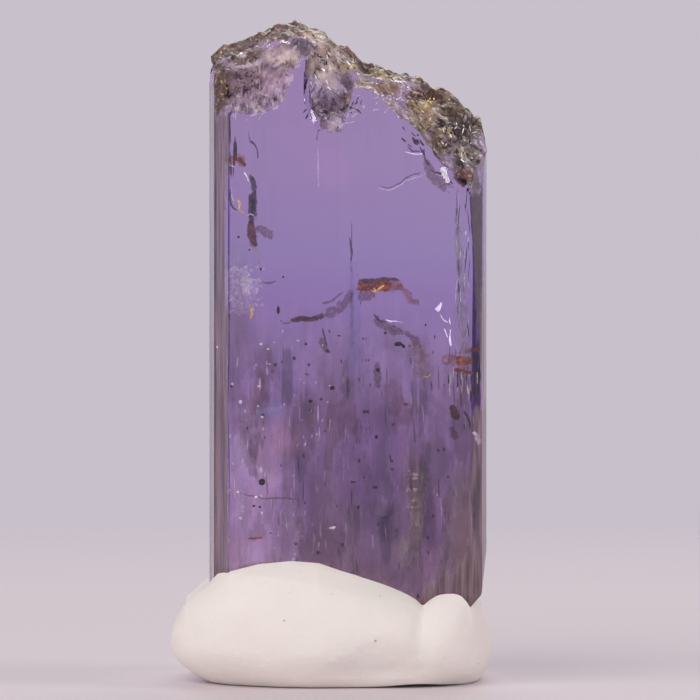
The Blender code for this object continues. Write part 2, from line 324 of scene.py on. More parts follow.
# Crystal: one zoisite prism, clear violet above and cloudy below, with growth strips down its sides. Its
# top is broken and deeply etched, its foot is pressed into the putty, and chips are missing from the edges.
PRISM_CORNERS = (
    (-4.50, -3.70),
    (6.38, -3.58),
    (6.66, -1.10),
    (6.50, 1.60),
    (5.90, 3.50),
    (-4.70, 4.15),
    (-5.18, 2.40),
    (-5.42, -0.50),
    (-5.14, -2.70),
)
FRONT_FACE = -3.70
BACK_FACE = 3.90
CRYSTAL_IOR = 1.69
LEFT_EDGE = -5.42
RIGHT_EDGE = 6.66
STRIP_WIDTH = 1.15
STRIP_DEPTH = 0.07
STRIP_RISER = 0.08
CREST_LINE = (
    (-5.60, 27.00),
    (-5.20, 27.32),
    (-4.50, 27.75),
    (-2.80, 28.40),
    (-1.50, 28.80),
    (-0.95, 28.45),
    (-0.35, 28.25),
    (0.10, 27.70),
    (0.60, 27.55),
    (1.30, 26.92),
    (2.05, 26.95),
    (2.80, 26.75),
    (3.95, 26.20),
    (5.50, 25.32),
    (6.40, 24.72),
    (6.80, 22.90),
)
FRONT_RIM = (
    (-5.60, 25.60),
    (-4.50, 26.40),
    (-3.00, 26.90),
    (-2.60, 27.50),
    (-0.40, 27.60),
    (0.60, 26.40),
    (1.20, 25.80),
    (2.20, 24.90),
    (3.20, 24.10),
    (4.30, 22.80),
    (5.20, 22.00),
    (6.50, 21.10),
)
CREST_Y = 0.70
CREST_SWAY = 0.80
FRONT_SLOPE_BEND = 1.15
BACK_DROP = 1.70
TOP_LIFT = 0.27
TOP_PITS = ((1.70, 0.50, 3), (0.80, 0.30, 4), (0.42, 0.13, 5))
FOOT_PITS = ((1.80, 0.40, 8),)
PIT_TURN = 0.45
FOOT_LEFT = 2.40
FOOT_RIGHT = 2.70
# Chips as centre, radii and the way that the chip was driven in. Breaks and the bevel are planes through
# three points, which the crystal is pushed back to.
CHIPS = (
    ((-3.55, -4.35, 25.55), (1.95, 1.10, 1.50), (0.0, 0.85, -0.53)),
    ((-0.20, -4.30, 25.60), (1.25, 1.25, 2.30), (0.0, 0.85, -0.53)),
    ((5.60, -4.20, 22.40), (1.30, 1.10, 1.60), (0.0, 0.85, -0.53)),
    ((-5.75, -1.60, 26.60), (0.80, 1.50, 1.10), (0.85, 0.0, -0.53)),
)
GROOVE_X = 5.36
GROOVE_Y = -3.78
GROOVE_HEIGHTS = (12.6, 14.2, 15.7, 17.1, 18.7, 20.2)
GROOVE_RADII = (0.26, 0.20, 1.00)
BREAKS = (
    ((5.72, -3.70, 22.50), (6.40, -3.56, 12.20), (6.52, -2.20, 22.50), (-1.0, 0.0, 0.0)),
    ((6.70, -1.00, 5.90), (6.36, -1.00, 3.60), (6.74, 1.00, 5.90), (-0.8, 0.0, 0.6)),
    ((6.38, -1.00, 3.86), (5.85, -1.00, 3.32), (6.34, 1.00, 3.76), (-0.8, 0.0, 0.6)),
)
# The grid: points along each side of the caps, and rows of the walls, which are closer together near the top.
CAP_SIDE = 150
LOW_ROWS = 46
HIGH_ROWS = 60
HIGH_SHARE = 0.34
FOOT_RINGS = (0.92, 0.75, 0.5, 0.25)


def striated_outline(corners, seed=11):
    """The corners joined by growth strips: flat bands of uneven width, each set in by its own small depth."""
    rng = np.random.default_rng(seed)
    outline = []
    for start, end in zip(np.array(corners), np.roll(corners, -1, axis=0)):
        length = np.linalg.norm(end - start)
        inward = np.array([start[1] - end[1], end[0] - start[0]]) / length
        strips = max(1, round(length / STRIP_WIDTH))
        edges = (np.arange(1, strips) + rng.uniform(-0.3, 0.3, strips - 1)) / strips
        depths = rng.uniform(0.15, 1.0, strips) * STRIP_DEPTH
        riser = STRIP_RISER / length
        outline.append(start)
        for edge, before, after in zip(edges, depths[:-1], depths[1:]):
            outline.append(start + (end - start) * (edge - riser) + inward * before)
            outline.append(start + (end - start) * (edge + riser) + inward * after)
    return np.array(outline)


def stepped_along(outline, count):
    """That many points round a closed outline at even steps, with the nearest one moved to each corner."""
    closed = np.vstack([outline, outline[:1]])
    marks = np.concatenate([[0], np.cumsum(np.linalg.norm(np.diff(closed, axis=0), axis=1))])
    steps = np.linspace(0, marks[-1], count, endpoint=False)
    steps[np.rint(marks[:-1] / marks[-1] * count).astype(int) % count] = marks[:-1]
    return np.stack([np.interp(steps, marks, closed[:, axis]) for axis in (0, 1)], axis=1)


def square_ring(side):
    """The border of a square of side cells: columns and rows from the lower left corner, anticlockwise."""
    run = np.arange(side)
    last = np.full(side, side)
    columns = np.concatenate([run, last, side - run, 0 * run])
    rows = np.concatenate([0 * run, run, last, side - run])
    return columns, rows


def square_to_section(outline, side):
    """A square grid mapped on the inside of a closed outline.

    Each point keeps its share of the way from the middle to the border, and its place round the border.
    """
    span = np.linspace(-1, 1, side + 1)
    u, v = np.meshgrid(span, span, indexing="xy")
    share = np.maximum(np.abs(u), np.abs(v))
    safe = np.maximum(share, 1e-9)
    eu, ev = u / safe, v / safe
    edge = 1 - 1e-9
    turn = np.select(
        [ev <= -edge, eu >= edge, ev >= edge],
        [(eu + 1) / 2, 1 + (ev + 1) / 2, 2 + (1 - eu) / 2],
        3 + (1 - ev) / 2,
    )
    marks = np.arange(len(outline) + 1) * 4 / len(outline)
    closed = np.vstack([outline, outline[:1]])
    middle = outline.mean(axis=0)
    border = np.stack([np.interp(turn % 4, marks, closed[:, axis]) for axis in (0, 1)], axis=-1)
    return middle + share[..., None] * (border - middle)


def lattice_values(cells, seed):
    """A repeatable number from 0 to 1 for each whole cell, from a product of primes folded together."""
    mixed = cells.astype(np.int64) @ np.array([73856093, 19349663, 83492791][: cells.shape[-1]])
    mixed = mixed + int(seed) * 2654435761
    mixed = (mixed ^ (mixed >> 13)) * 1274126177 & 0x7FFFFFFF
    return ((mixed ^ (mixed >> 16)) & 0xFFFF) / 0xFFFF


def value_noise(points, seed=1):
    """Smooth noise from 0 to 1: the values at each unit cell's corners, blended by smoothed distances."""
    low = np.floor(points)
    share = points - low
    share = share * share * (3 - 2 * share)
    total = 0
    for corner in np.ndindex(*(2,) * points.shape[-1]):
        weight = np.prod(np.where(corner, share, 1 - share), axis=-1)
        total = total + weight * lattice_values(low + corner, seed)
    return total


def facet_relief(points, seed=1, tilt=1.0):
    """Crumpled relief about 0: each point takes the tilted plane of its nearest jittered lattice seed."""
    cell = np.floor(points)
    nearest = np.full(points.shape[:-1], 9.0)
    relief = np.zeros(points.shape[:-1])
    dims = points.shape[-1]
    for offset in np.ndindex(*(3,) * dims):
        corner = cell + np.array(offset) - 1
        jitter = np.stack([lattice_values(corner, seed + 10 + axis) for axis in range(dims)], axis=-1)
        lean = np.stack([lattice_values(corner, seed + 20 + axis) - 0.5 for axis in range(dims)], axis=-1)
        away = points - corner - jitter
        far = (away**2).sum(axis=-1)
        plane = (away * lean).sum(axis=-1) * 2 * tilt + lattice_values(corner, seed + 30) - 0.5
        closer = far < nearest
        nearest = np.where(closer, far, nearest)
        relief = np.where(closer, plane, relief)
    return relief


def pit_depth(x, y, pitch, depth, seed):
    """Depth of square etch pits, greatest at the seeds of a jittered lattice and nothing between them."""
    rng = np.random.default_rng(seed)
    lattice = np.arange(-9.0, 9.0, pitch)
    seeds = np.stack(np.meshgrid(lattice, lattice), axis=-1).reshape(-1, 2)
    seeds = seeds + rng.uniform(-0.42, 0.42, seeds.shape) * pitch
    size = rng.uniform(0.55, 1.0, len(seeds))
    deepest = np.zeros(x.shape)
    for seed_x, seed_y, share in zip(*seeds.T, size):
        east = (x - seed_x) * math.cos(PIT_TURN) + (y - seed_y) * math.sin(PIT_TURN)
        north = (y - seed_y) * math.cos(PIT_TURN) - (x - seed_x) * math.sin(PIT_TURN)
        away = np.maximum(np.abs(east), np.abs(north)) / (0.75 * pitch * share)
        deepest = np.maximum(deepest, share * (1 - away))
    return depth * deepest


def roof_height(x, y):
    """The broken top without its pits: a roof from the crest line down to the front rim and to the back."""
    crest = np.interp(x, *zip(*CREST_LINE))
    rim = np.interp(x, *zip(*FRONT_RIM))
    crest_y = CREST_Y + CREST_SWAY * np.sin(0.55 * x + 0.8)
    forward = (crest_y - y) / (crest_y - FRONT_FACE)
    front_fall = (crest - rim) * np.clip(forward, 0, None) ** FRONT_SLOPE_BEND
    back_fall = BACK_DROP * np.clip(-forward, 0, None)
    return crest - front_fall - back_fall + TOP_LIFT


def top_height(x, y):
    """The broken top: the roof, with etch pits in it."""
    return roof_height(x, y) - sum(pit_depth(x, y, *pits) for pits in TOP_PITS)


def foot_height(x, y):
    """The broken foot: a plane that rises from the left to the right, with shallow breaks."""
    rise = (FOOT_RIGHT - FOOT_LEFT) * (x - LEFT_EDGE) / (RIGHT_EDGE - LEFT_EDGE)
    return FOOT_LEFT + rise + sum(pit_depth(x, y, *pits) for pits in FOOT_PITS)


def chipped(points, centre, radii, way):
    """Points inside an ellipsoid are moved along way to its far side."""
    start = (points - centre) / radii
    step = np.array(way) / radii
    a = (step**2).sum()
    b = (start * step).sum(axis=1)
    c = (start**2).sum(axis=1) - 1
    travel = (-b + np.sqrt(np.maximum(b * b - a * c, 0))) / a
    return points + np.where(c < 0, travel, 0)[:, None] * np.array(way)


def broken_off(points, first, second, third, way):
    """Points beyond the plane through three points are moved along way back to it."""
    first, second, third = (np.array(p) for p in (first, second, third))
    normal = np.cross(second - first, third - first)
    beyond = (points - first) @ normal
    travel = -beyond / (np.array(way) @ normal)
    return points + np.where(beyond > 0, travel, 0)[:, None] * np.array(way)


def crystal_points():
    """Points and faces of the crystal: a square grid for its top, rings down its walls and in its foot."""
    side = CAP_SIDE
    outline = stepped_along(striated_outline(PRISM_CORNERS), 4 * side)
    plan = square_to_section(outline, side)
    top = np.dstack([plan, top_height(plan[..., 0], plan[..., 1])])
    numbers = np.arange((side + 1) ** 2).reshape(side + 1, side + 1)
    columns, rows = square_ring(side)
    rim_numbers = numbers[rows, columns]
    rim = top[rows, columns]
    foot = foot_height(outline[:, 0], outline[:, 1])
    shares = np.concatenate(
        [
            np.linspace(0, HIGH_SHARE, HIGH_ROWS + 1)[1:],
            np.linspace(HIGH_SHARE, 1, LOW_ROWS + 1)[1:],
        ]
    )
    levels = rim[:, 2] + shares[:, None] * (foot - rim[:, 2])
    walls = np.stack([np.broadcast_to(outline[:, axis], levels.shape) for axis in (0, 1)] + [levels], axis=-1)
    middle = outline.mean(axis=0)
    inner = np.array(FOOT_RINGS)[:, None, None] * (outline - middle) + middle
    under = np.dstack([inner, foot_height(inner[..., 0], inner[..., 1])])
    hub = np.array([[*middle, foot_height(middle[:1], middle[1:])[0]]])
    points = np.vstack([top.reshape(-1, 3), walls.reshape(-1, 3), under.reshape(-1, 3), hub])
    ring_start = (side + 1) ** 2
    ring_numbers = ring_start + np.arange((len(shares) + len(FOOT_RINGS)) * 4 * side).reshape(-1, 4 * side)
    cap = np.stack([numbers[:-1, :-1], numbers[:-1, 1:], numbers[1:, 1:], numbers[1:, :-1]], axis=-1)
    belts = [rim_numbers, *ring_numbers]
    faces = [cap.reshape(-1, 4)]
    faces += [quads_between(lower, upper) for upper, lower in zip(belts[:-1], belts[1:])]
    return points, np.vstack(faces), fan(belts[-1][::-1], len(points) - 1)


# The lower edge of the broken and etched zone on the front face, as x and height, and how far the break
# reaches down the other sides.
FRONT_BREAK = (
    (-5.20, 24.10),
    (-4.62, 24.28),
    (-2.70, 24.37),
    (-2.14, 24.54),
    (-1.84, 25.26),
    (-1.54, 26.12),
    (-1.29, 26.42),
    (-1.16, 25.90),
    (-0.99, 25.05),
    (-0.78, 24.20),
    (-0.35, 23.73),
    (0.29, 23.77),
    (0.63, 24.41),
    (0.81, 25.05),
    (1.15, 25.35),
    (1.79, 25.26),
    (2.22, 24.71),
    (3.20, 24.11),
    (3.80, 23.34),
    (4.14, 22.91),
    (4.56, 22.57),
    (5.42, 21.97),
    (6.06, 21.21),
    (6.80, 20.60),
)
SIDE_BREAK = 1.3
BREAK_SOFTNESS = 0.50
# Relief as pitch and depth: facets of the break, and long growth steps on the sides.
CRUMPLES = ((1.30, 0.42), (0.55, 0.30), (0.24, 0.12))
GROWTH = ((0.55, 7.0, 0.020), (0.20, 3.0, 0.010))
# The crust and stains of the break, as x, height, half width, half height, colour, cover and how much it
# glitters: the share of painted glints and painted dark shards on it, with deeper crumpled relief and
# rougher glass. Later patches lie over earlier ones.
PLAIN_BREAK = ((0.40, 0.30, 0.36), 0.40, 0.35)
BREAK_PATCHES = (
    (5.00, 24.55, 1.70, 1.10, (0.21, 0.155, 0.12), 0.90, 0.85),
    (-3.40, 25.30, 1.60, 1.30, (0.31, 0.225, 0.27), 0.62, 0.45),
    (-2.50, 25.95, 0.75, 0.55, (0.50, 0.34, 0.42), 0.70, 0.40),
    (-3.60, 25.70, 0.85, 0.55, (0.42, 0.29, 0.34), 0.70, 0.75),
    (-3.60, 24.75, 0.60, 0.35, (0.48, 0.38, 0.44), 0.75, 0.60),
    (-3.70, 26.62, 0.95, 0.30, (0.52, 0.41, 0.46), 0.80, 0.40),
    (-2.20, 26.95, 0.85, 0.45, (0.60, 0.46, 0.48), 0.80, 0.45),
    (-5.00, 25.60, 0.72, 1.40, (0.115, 0.068, 0.058), 0.97, 0.50),
    (-3.80, 27.15, 1.05, 0.45, (0.20, 0.125, 0.12), 0.88, 0.80),
    (-3.95, 27.12, 0.14, 0.16, (0.60, 0.50, 0.58), 0.90, 0.30),
    (-2.10, 28.10, 1.20, 0.45, (0.20, 0.135, 0.12), 0.90, 0.70),
    (-0.75, 27.90, 0.60, 0.35, (0.50, 0.39, 0.32), 0.85, 0.80),
    (-0.25, 26.65, 0.85, 1.00, (0.60, 0.48, 0.46), 0.88, 1.00),
    (-0.15, 24.85, 1.15, 0.72, (0.15, 0.09, 0.13), 0.72, 1.00),
    (1.00, 24.90, 0.40, 0.65, (0.20, 0.135, 0.15), 0.86, 0.90),
    (0.70, 26.55, 0.50, 0.40, (0.38, 0.28, 0.19), 0.90, 0.90),
    (1.30, 25.75, 0.35, 0.50, (0.40, 0.31, 0.28), 0.90, 0.80),
    (2.10, 26.40, 0.90, 0.24, (0.34, 0.25, 0.15), 0.92, 0.70),
    (1.85, 24.72, 1.15, 0.45, (0.38, 0.27, 0.29), 0.86, 0.45),
    (2.25, 25.72, 0.72, 0.42, (0.29, 0.18, 0.125), 0.97, 0.20),
    (3.55, 23.95, 0.60, 0.36, (0.22, 0.15, 0.12), 0.90, 0.70),
    (4.40, 23.20, 0.60, 0.55, (0.18, 0.125, 0.095), 0.92, 0.80),
    (3.80, 24.50, 0.95, 0.50, (0.33, 0.24, 0.18), 0.82, 0.60),
    (3.80, 25.10, 0.75, 0.28, (0.40, 0.29, 0.155), 0.90, 0.90),
    (3.95, 25.50, 0.95, 0.35, (0.11, 0.045, 0.035), 0.96, 0.55),
    (5.50, 23.95, 1.00, 0.75, (0.125, 0.085, 0.08), 0.92, 1.00),
    (5.70, 22.85, 0.85, 0.85, (0.22, 0.175, 0.18), 0.90, 1.00),
    (5.15, 24.80, 0.42, 0.25, (0.11, 0.075, 0.06), 0.92, 0.60),
    (5.60, 21.75, 0.55, 0.50, (0.12, 0.045, 0.05), 0.90, 0.40),
)
CREST_REACH = 0.75
CREST_COVER = 0.94
CREST_BROWN = (0.145, 0.085, 0.072)
CREST_OLIVE = (0.20, 0.145, 0.088)
CREST_EDGE = (0.20, 0.07, 0.05)
# Colour that the light takes on in the body, by height, and patches of it that are lighter, darker or
# browner.
BODY_TONES = (
    (3.0, (0.36, 0.30, 0.31)),
    (6.0, (0.33, 0.27, 0.31)),
    (8.0, (0.34, 0.27, 0.34)),
    (11.4, (0.46, 0.38, 0.48)),
    (14.4, (0.57, 0.55, 0.64)),
    (16.5, (0.72, 0.70, 0.87)),
    (18.6, (0.78, 0.86, 0.94)),
    (22.0, (0.87, 0.92, 0.94)),
    (26.0, (0.92, 0.95, 0.95)),
)
LEFT_PALENESS = 0.75
TONE_PATCHES = (
    (-0.10, 22.30, 0.80, 0.95, (1.10, 1.02, 1.04)),
    (2.30, 6.90, 0.42, 0.95, (0.55, 0.42, 0.62)),
    (4.15, 6.90, 0.34, 1.40, (0.60, 0.50, 0.62)),
    (3.55, 7.90, 0.30, 1.90, (1.35, 1.50, 0.95)),
    (3.00, 5.80, 0.42, 0.80, (1.20, 1.35, 0.95)),
    (-3.40, 8.00, 1.20, 2.70, (1.18, 1.20, 1.20)),
    (-2.60, 4.90, 1.60, 0.90, (1.15, 1.22, 1.15)),
    (-2.70, 11.80, 0.75, 0.45, (0.90, 1.05, 1.12)),
    (-2.00, 10.40, 0.70, 0.85, (1.05, 1.02, 0.88)),
    (-1.00, 11.60, 0.30, 0.75, (0.85, 0.82, 0.70)),
    (5.70, 6.60, 0.80, 2.70, (1.10, 1.12, 0.72)),
    (1.60, 9.80, 1.70, 2.40, (0.84, 0.78, 0.88)),
    (0.90, 15.40, 0.30, 2.60, (0.86, 0.90, 1.00)),
    (-4.20, 16.30, 0.50, 2.60, (0.84, 0.84, 0.74)),
)
# Painted shade on the clear sides, as colour and cover: grey on the narrow left faces, a dark left edge line,
# and dark on the right bevel, the lower right faces and the right rim, which are seen edge-on.
LEFT_FACE_SHADE = ((0.17, 0.12, 0.155), 0.85)
LEFT_EDGE_SHADE = ((0.05, 0.03, 0.04), 0.90)
LEFT_LINE_X = -5.09
LEFT_RUST_X = -5.02
BEVEL_FOOT = 11.5
RIGHT_BEVEL_SHADE = ((0.080, 0.052, 0.085), 0.92)
RIGHT_LOW_FACE_SHADE = ((0.19, 0.13, 0.155), 0.72)
RIGHT_RIM_SHADE = ((0.24, 0.17, 0.20), 0.95)
FOOT_CRUST = ((0.165, 0.108, 0.118), 0.80)
# The crust at the foot, as x and the height that it reaches on the front face.
FOOT_CRUST_LINE = ((1.50, 4.2), (2.60, 4.3), (3.60, 4.2), (4.30, 4.6), (5.20, 5.2), (6.00, 5.6), (6.70, 5.8))
# The putty's lip across the front face and the back, as x and height. White putty shows through the crystal
# under it, and a thin brown line runs along it in front.
FRONT_LIP = (
    (-7.00, 2.90),
    (-5.30, 3.95),
    (-4.90, 4.40),
    (-4.40, 4.85),
    (-3.10, 5.20),
    (-1.80, 5.34),
    (-0.60, 5.25),
    (0.90, 4.78),
    (2.20, 4.26),
    (3.40, 3.72),
    (4.02, 3.50),
    (4.30, 3.72),
    (4.60, 3.93),
    (5.00, 4.02),
    (5.60, 4.32),
    (6.20, 4.40),
    (7.00, 3.60),
)
BACK_LIP = (
    (-7.00, 2.90),
    (-5.20, 4.10),
    (-3.10, 4.80),
    (-1.00, 4.85),
    (1.00, 4.40),
    (2.60, 3.65),
    (3.90, 3.10),
    (5.20, 3.20),
    (6.00, 3.20),
    (7.00, 2.50),
)
PUTTY_CONTACT = ((0.80, 0.74, 0.70), 0.95)
BROWN_LIP_LINE = ((0.22, 0.11, 0.12), 0.90)
# Rust on the left edge, as height and half height.
EDGE_RUST = ((0.20, 0.095, 0.085), ((15.3, 0.8), (9.3, 1.4), (6.0, 2.0)))


def smooth_step(value, low, high):
    """0 below low and 1 above high, with a smooth rise between them."""
    share = np.clip((value - low) / (high - low), 0, 1)
    return share * share * (3 - 2 * share)


def outward_normals(points, quads):
    """The normal at each point: the sum of the cross products of the diagonals of its quads."""
    across = points[quads[:, 2]] - points[quads[:, 0]]
    along = points[quads[:, 3]] - points[quads[:, 1]]
    normals = np.zeros(points.shape)
    for corner in quads.T:
        np.add.at(normals, corner, np.cross(across, along))
    return normals / np.maximum(np.linalg.norm(normals, axis=1), 1e-12)[:, None]


def in_patch(points, patch, ragged=0.35):
    """1 inside a patch's ellipse of x and height, 0 outside it, with a ragged soft edge."""
    stray = ragged * (value_noise(points * 1.6, 51) + 0.6 * value_noise(points * 4.5, 52) - 0.8)
    across = (points[:, 0] - patch[0] + stray) / patch[2]
    upright = (points[:, 2] - patch[1] - stray) / patch[3]
    return 1 - smooth_step(np.hypot(across, upright), 0.55, 1.25)


def broken_share(points, top):
    """1 on the sides above the break line, 0 below it."""
    x, y, z = points.T
    side_line = top - SIDE_BREAK * value_noise(points * (0.8, 0.8, 0.3), 21)
    front = smooth_step(-y, 2.3, 2.9)
    line = front * np.interp(x, *zip(*FRONT_BREAK)) + (1 - front) * side_line
    line = line + 0.35 * (value_noise(points * 2.6, 22) - 0.5)
    return smooth_step(z, line, line + BREAK_SOFTNESS)


def crumpled(points):
    """Depth of the relief of a break: facets of three sizes, of which nothing stands out of the face."""
    relief = sum(size * facet_relief(points / pitch, 40 + 90 * pitch) for pitch, size in CRUMPLES)
    return np.clip(0.08 + relief, 0, None)


points, walls, hub = crystal_points()
point_number = np.arange(len(points))
on_cap = point_number < (CAP_SIDE + 1) ** 2
in_foot = point_number >= len(points) - len(FOOT_RINGS) * 4 * CAP_SIDE - 1
ground = top_height(points[:, 0], points[:, 1])
broken = np.where(on_cap, 1.0, np.where(in_foot, 0.0, broken_share(points, ground)))
for chip in CHIPS:
    points = chipped(points, *chip)
for pit_height in GROOVE_HEIGHTS:
    points = chipped(points, (GROOVE_X, GROOVE_Y, pit_height), GROOVE_RADII, (0.0, 1.0, 0.0))
unbroken = points
for plane in BREAKS:
    points = broken_off(points, *plane)
bevelled = (np.linalg.norm(points - unbroken, axis=1) > 1e-6) & (points[:, 2] > BEVEL_FOOT)

# What lies on each point: the colour of the body, which both faces take half of, and the crust with its cover
# and its glitter.
x, y, z = points.T
heights, tones = zip(*BODY_TONES)
tint = np.stack([np.interp(z, heights, channel) for channel in zip(*tones)], axis=1)
tint = tint ** (1 - LEFT_PALENESS * (1 - smooth_step(x, -3.4, -0.6)) * smooth_step(-z, -14.0, -9.0))[:, None]
for patch in TONE_PATCHES:
    tint = tint * (1 + in_patch(points, patch)[:, None] * (np.array(patch[4]) - 1))
tint = tint ** (1 - 0.75 * broken[:, None])


class Crust:
    """The colour, cover and glitter of what lies on each point."""

    def __init__(self, count, colour, cover, glitter):
        self.colour = np.full((count, 3), colour)
        self.cover = np.full(count, cover)
        self.glitter = np.full(count, glitter)

    def lay(self, share, colour, cover, glitter=0.0):
        """Another layer over the ones before it, by share."""
        self.colour += share[:, None] * (np.array(colour) - self.colour)
        self.cover += share * (cover - self.cover)
        self.glitter += share * (glitter - self.glitter)


crust = Crust(len(points), *PLAIN_BREAK)
crest = np.interp(x, *zip(*CREST_LINE)) - z
crest_end = CREST_REACH * (0.6 + 0.9 * value_noise(points * 1.2, 31))
near_crest = 1 - smooth_step(crest, 0.35 * CREST_REACH, crest_end)
brown_share = smooth_step(value_noise(points * (1.3, 1.3, 2.6), 33), 0.35, 0.65)
crust.lay(near_crest * brown_share, CREST_BROWN, CREST_COVER, 0.7)
crust.lay(near_crest * (1 - brown_share), CREST_OLIVE, CREST_COVER, 0.8)
for patch in BREAK_PATCHES:
    crust.lay(in_patch(points, patch), *patch[4:])
crust.lay(1 - smooth_step(crest, -0.10, 0.10), CREST_EDGE, CREST_COVER, 0.2)
bare = smooth_step(y, 1.4, 2.6) * smooth_step(value_noise(points * (0.9, 0.9, 1.2), 34), 0.42, 0.58)
crust.cover *= broken * (1 - 0.9 * bare)
crust.glitter *= broken * (1 - 0.5 * bare)
sound = 1 - broken
front = smooth_step(-y, 2.55, 2.75)
# Painted shade: grey over the narrow left faces and a dark line down the left edge, where they are seen
# edge-on.
on_left = smooth_step(-x - 0.30 * value_noise(points * (6, 6, 0.4), 35), 4.20, 4.50) * front * sound
crust.lay(on_left, *LEFT_FACE_SHADE)
crust.lay(np.exp(-(((x - LEFT_LINE_X) / 0.05) ** 2)) * front * sound, *LEFT_EDGE_SHADE)
for height, half_height in EDGE_RUST[1]:
    upright = 1 - smooth_step(np.abs(z - height), 0.5 * half_height, half_height)
    rusty = np.exp(-(((x - LEFT_RUST_X) / 0.10) ** 2)) * upright
    crust.lay(0.65 * rusty * front * sound, EDGE_RUST[0], 0.80)
# Painted shade: dark over the right bevel, the lower right faces and the right rim, seen edge-on.
crust.lay(bevelled * sound, *RIGHT_BEVEL_SHADE)
on_right = smooth_step(x - 0.35 * value_noise(points * (5, 5, 0.4), 36), 5.45, 5.75)
on_right = on_right * smooth_step(-z, -12.4, -11.6)
crust.lay(on_right * smooth_step(-y, 0.0, 1.0) * sound, *RIGHT_LOW_FACE_SHADE)
uneven = value_noise(points * (1.5, 1.5, 0.25), 38)
on_rim = smooth_step(x, 6.28, 6.40) * smooth_step(-y - 2.5 * uneven, -2.5, 2.0)
on_rim = on_rim * smooth_step(-z - 5 * uneven, -22.0, -17.0)
crust.lay(on_rim * sound, *RIGHT_RIM_SHADE)
foot_line = np.interp(x, *zip(*FOOT_CRUST_LINE)) + 1.6 * (value_noise(points * (3.2, 3.2, 0.8), 37) - 0.5)
on_foot = smooth_step(foot_line - z, -0.60, 0.90) * smooth_step(-y, 2.4, 2.8) * smooth_step(x, 1.6, 2.6)
crust.lay(on_foot, *FOOT_CRUST)
lip = np.where(y < 0, np.interp(x, *zip(*FRONT_LIP)), np.interp(x, *zip(*BACK_LIP)))
lip = lip - 0.15 * smooth_step(x, 4.2, 4.8) - 1.6 * smooth_step(x, 4.9, 6.4)
crust.lay(smooth_step(lip - z, 0.02, 0.12), *PUTTY_CONTACT)
# A thin brown line along the front lip, where the putty meets the crystal.
on_lip = smooth_step(lip - z, -0.12, -0.04) * smooth_step(-y, 2.4, 2.8) * smooth_step(-x, -5.2, -4.6)
crust.lay(on_lip, *BROWN_LIP_LINE)

sunk = broken * (0.25 + 0.75 * crust.glitter) * np.where(on_cap, 0.4, 1.0) * crumpled(points)
for width, length, size in GROWTH:
    sunk = sunk + sound * size * value_noise(points / (width, width, length), 7)
points = points - outward_normals(points, walls) * sunk[:, None]

# The glass, whose absorption is given for each metre, and the painted shadow of the darkest shards and two
# kinds of painted glint of its crust.
ABSORPTION_COLOUR = (0.512, 0.161, 0.739)
ABSORPTION_DENSITY = 140.0
SHARD_SHADOW = (0.015, 0.010, 0.012)
SILVER_GLINT = (0.82, 0.76, 0.74)
GOLDEN_GLINT = (0.80, 0.62, 0.30)

crystal_finish = Finish("clear_violet_zoisite", Transmission_Weight=1.0, IOR=CRYSTAL_IOR, Roughness=0.03)
crystal_place = crystal_finish.place()
low = crystal_finish.attribute("low")
cloud_place = crystal_finish.place((0.80, 0.80, 0.38))
clouds = crystal_finish.noise(cloud_place, detail=5.0, roughness=0.62, distortion=0.5)
lines = crystal_finish.noise(crystal_finish.place((6.5, 6.5, 0.40)), detail=2.0)
smoke = crystal_finish.noise(crystal_finish.place((0.45, 0.45, 0.24)), detail=3.0)
veined = 1.0 + low * ((clouds.between(0.38, 0.62) - 0.40) * 0.62 + (lines.between(0.35, 0.65) - 0.5) * 0.12)
body = crystal_finish.blend(1.0, crystal_finish.attribute("tint", output="Color"), veined, "MULTIPLY")
body = crystal_finish.blend(low * smoke.between(0.46, 0.60) * 0.8, body, (1.0, 0.92, 0.80), "MULTIPLY")
crystal_finish.set("Base Color", body)
crystal_finish.set("Roughness", 0.02 + 0.25 * crystal_finish.attribute("glint_and_crumple"))
# Over it the crust: shards of three sizes that lean, from black to glints, more of them the more it glitters.
# The black shards, the glints and the light and dark of the shards between are painted shadow, highlight and
# shade.
cover = crystal_finish.attribute("crust")
glint_and_crumple_share = crystal_finish.attribute("glint_and_crumple")
stain_colour = crystal_finish.attribute("stain", output="Color")
bent = crystal_finish.warped(crystal_place, 1.3, 0.5)
shards = crystal_finish.shards(crystal_finish.leaning(bent, 35, (4.4, 3.0, 1.4)), 1.0)
splinters = crystal_finish.shards(crystal_finish.leaning(bent, 60, (9.0, 6.0, 3.4)), 1.0)
flecks = crystal_finish.shards(crystal_finish.leaning(bent, 20, (15, 12, 7.0)), 1.0)
pattern = shards * 0.42 + splinters * 0.33 + flecks * 0.25
grit = crystal_finish.noise(crystal_finish.place((9, 9, 7)), detail=3.0, roughness=0.6)
streaks = crystal_finish.noise(crystal_finish.place((7, 7, 0.30)), detail=4.0, roughness=0.6)
streaks = streaks.between(0.34, 0.66)
# Painted facet shading: on the breaks each shard is lighter or darker, as if lit or turned from the light.
painted_facet_shade = 0.40 + pattern * 0.8 + grit.between(0.3, 0.7) * 0.4
shade = painted_facet_shade * (1.0 - low) + (0.58 + 0.84 * streaks) * low
crust_colour = crystal_finish.blend(1.0, stain_colour, shade, "MULTIPLY")
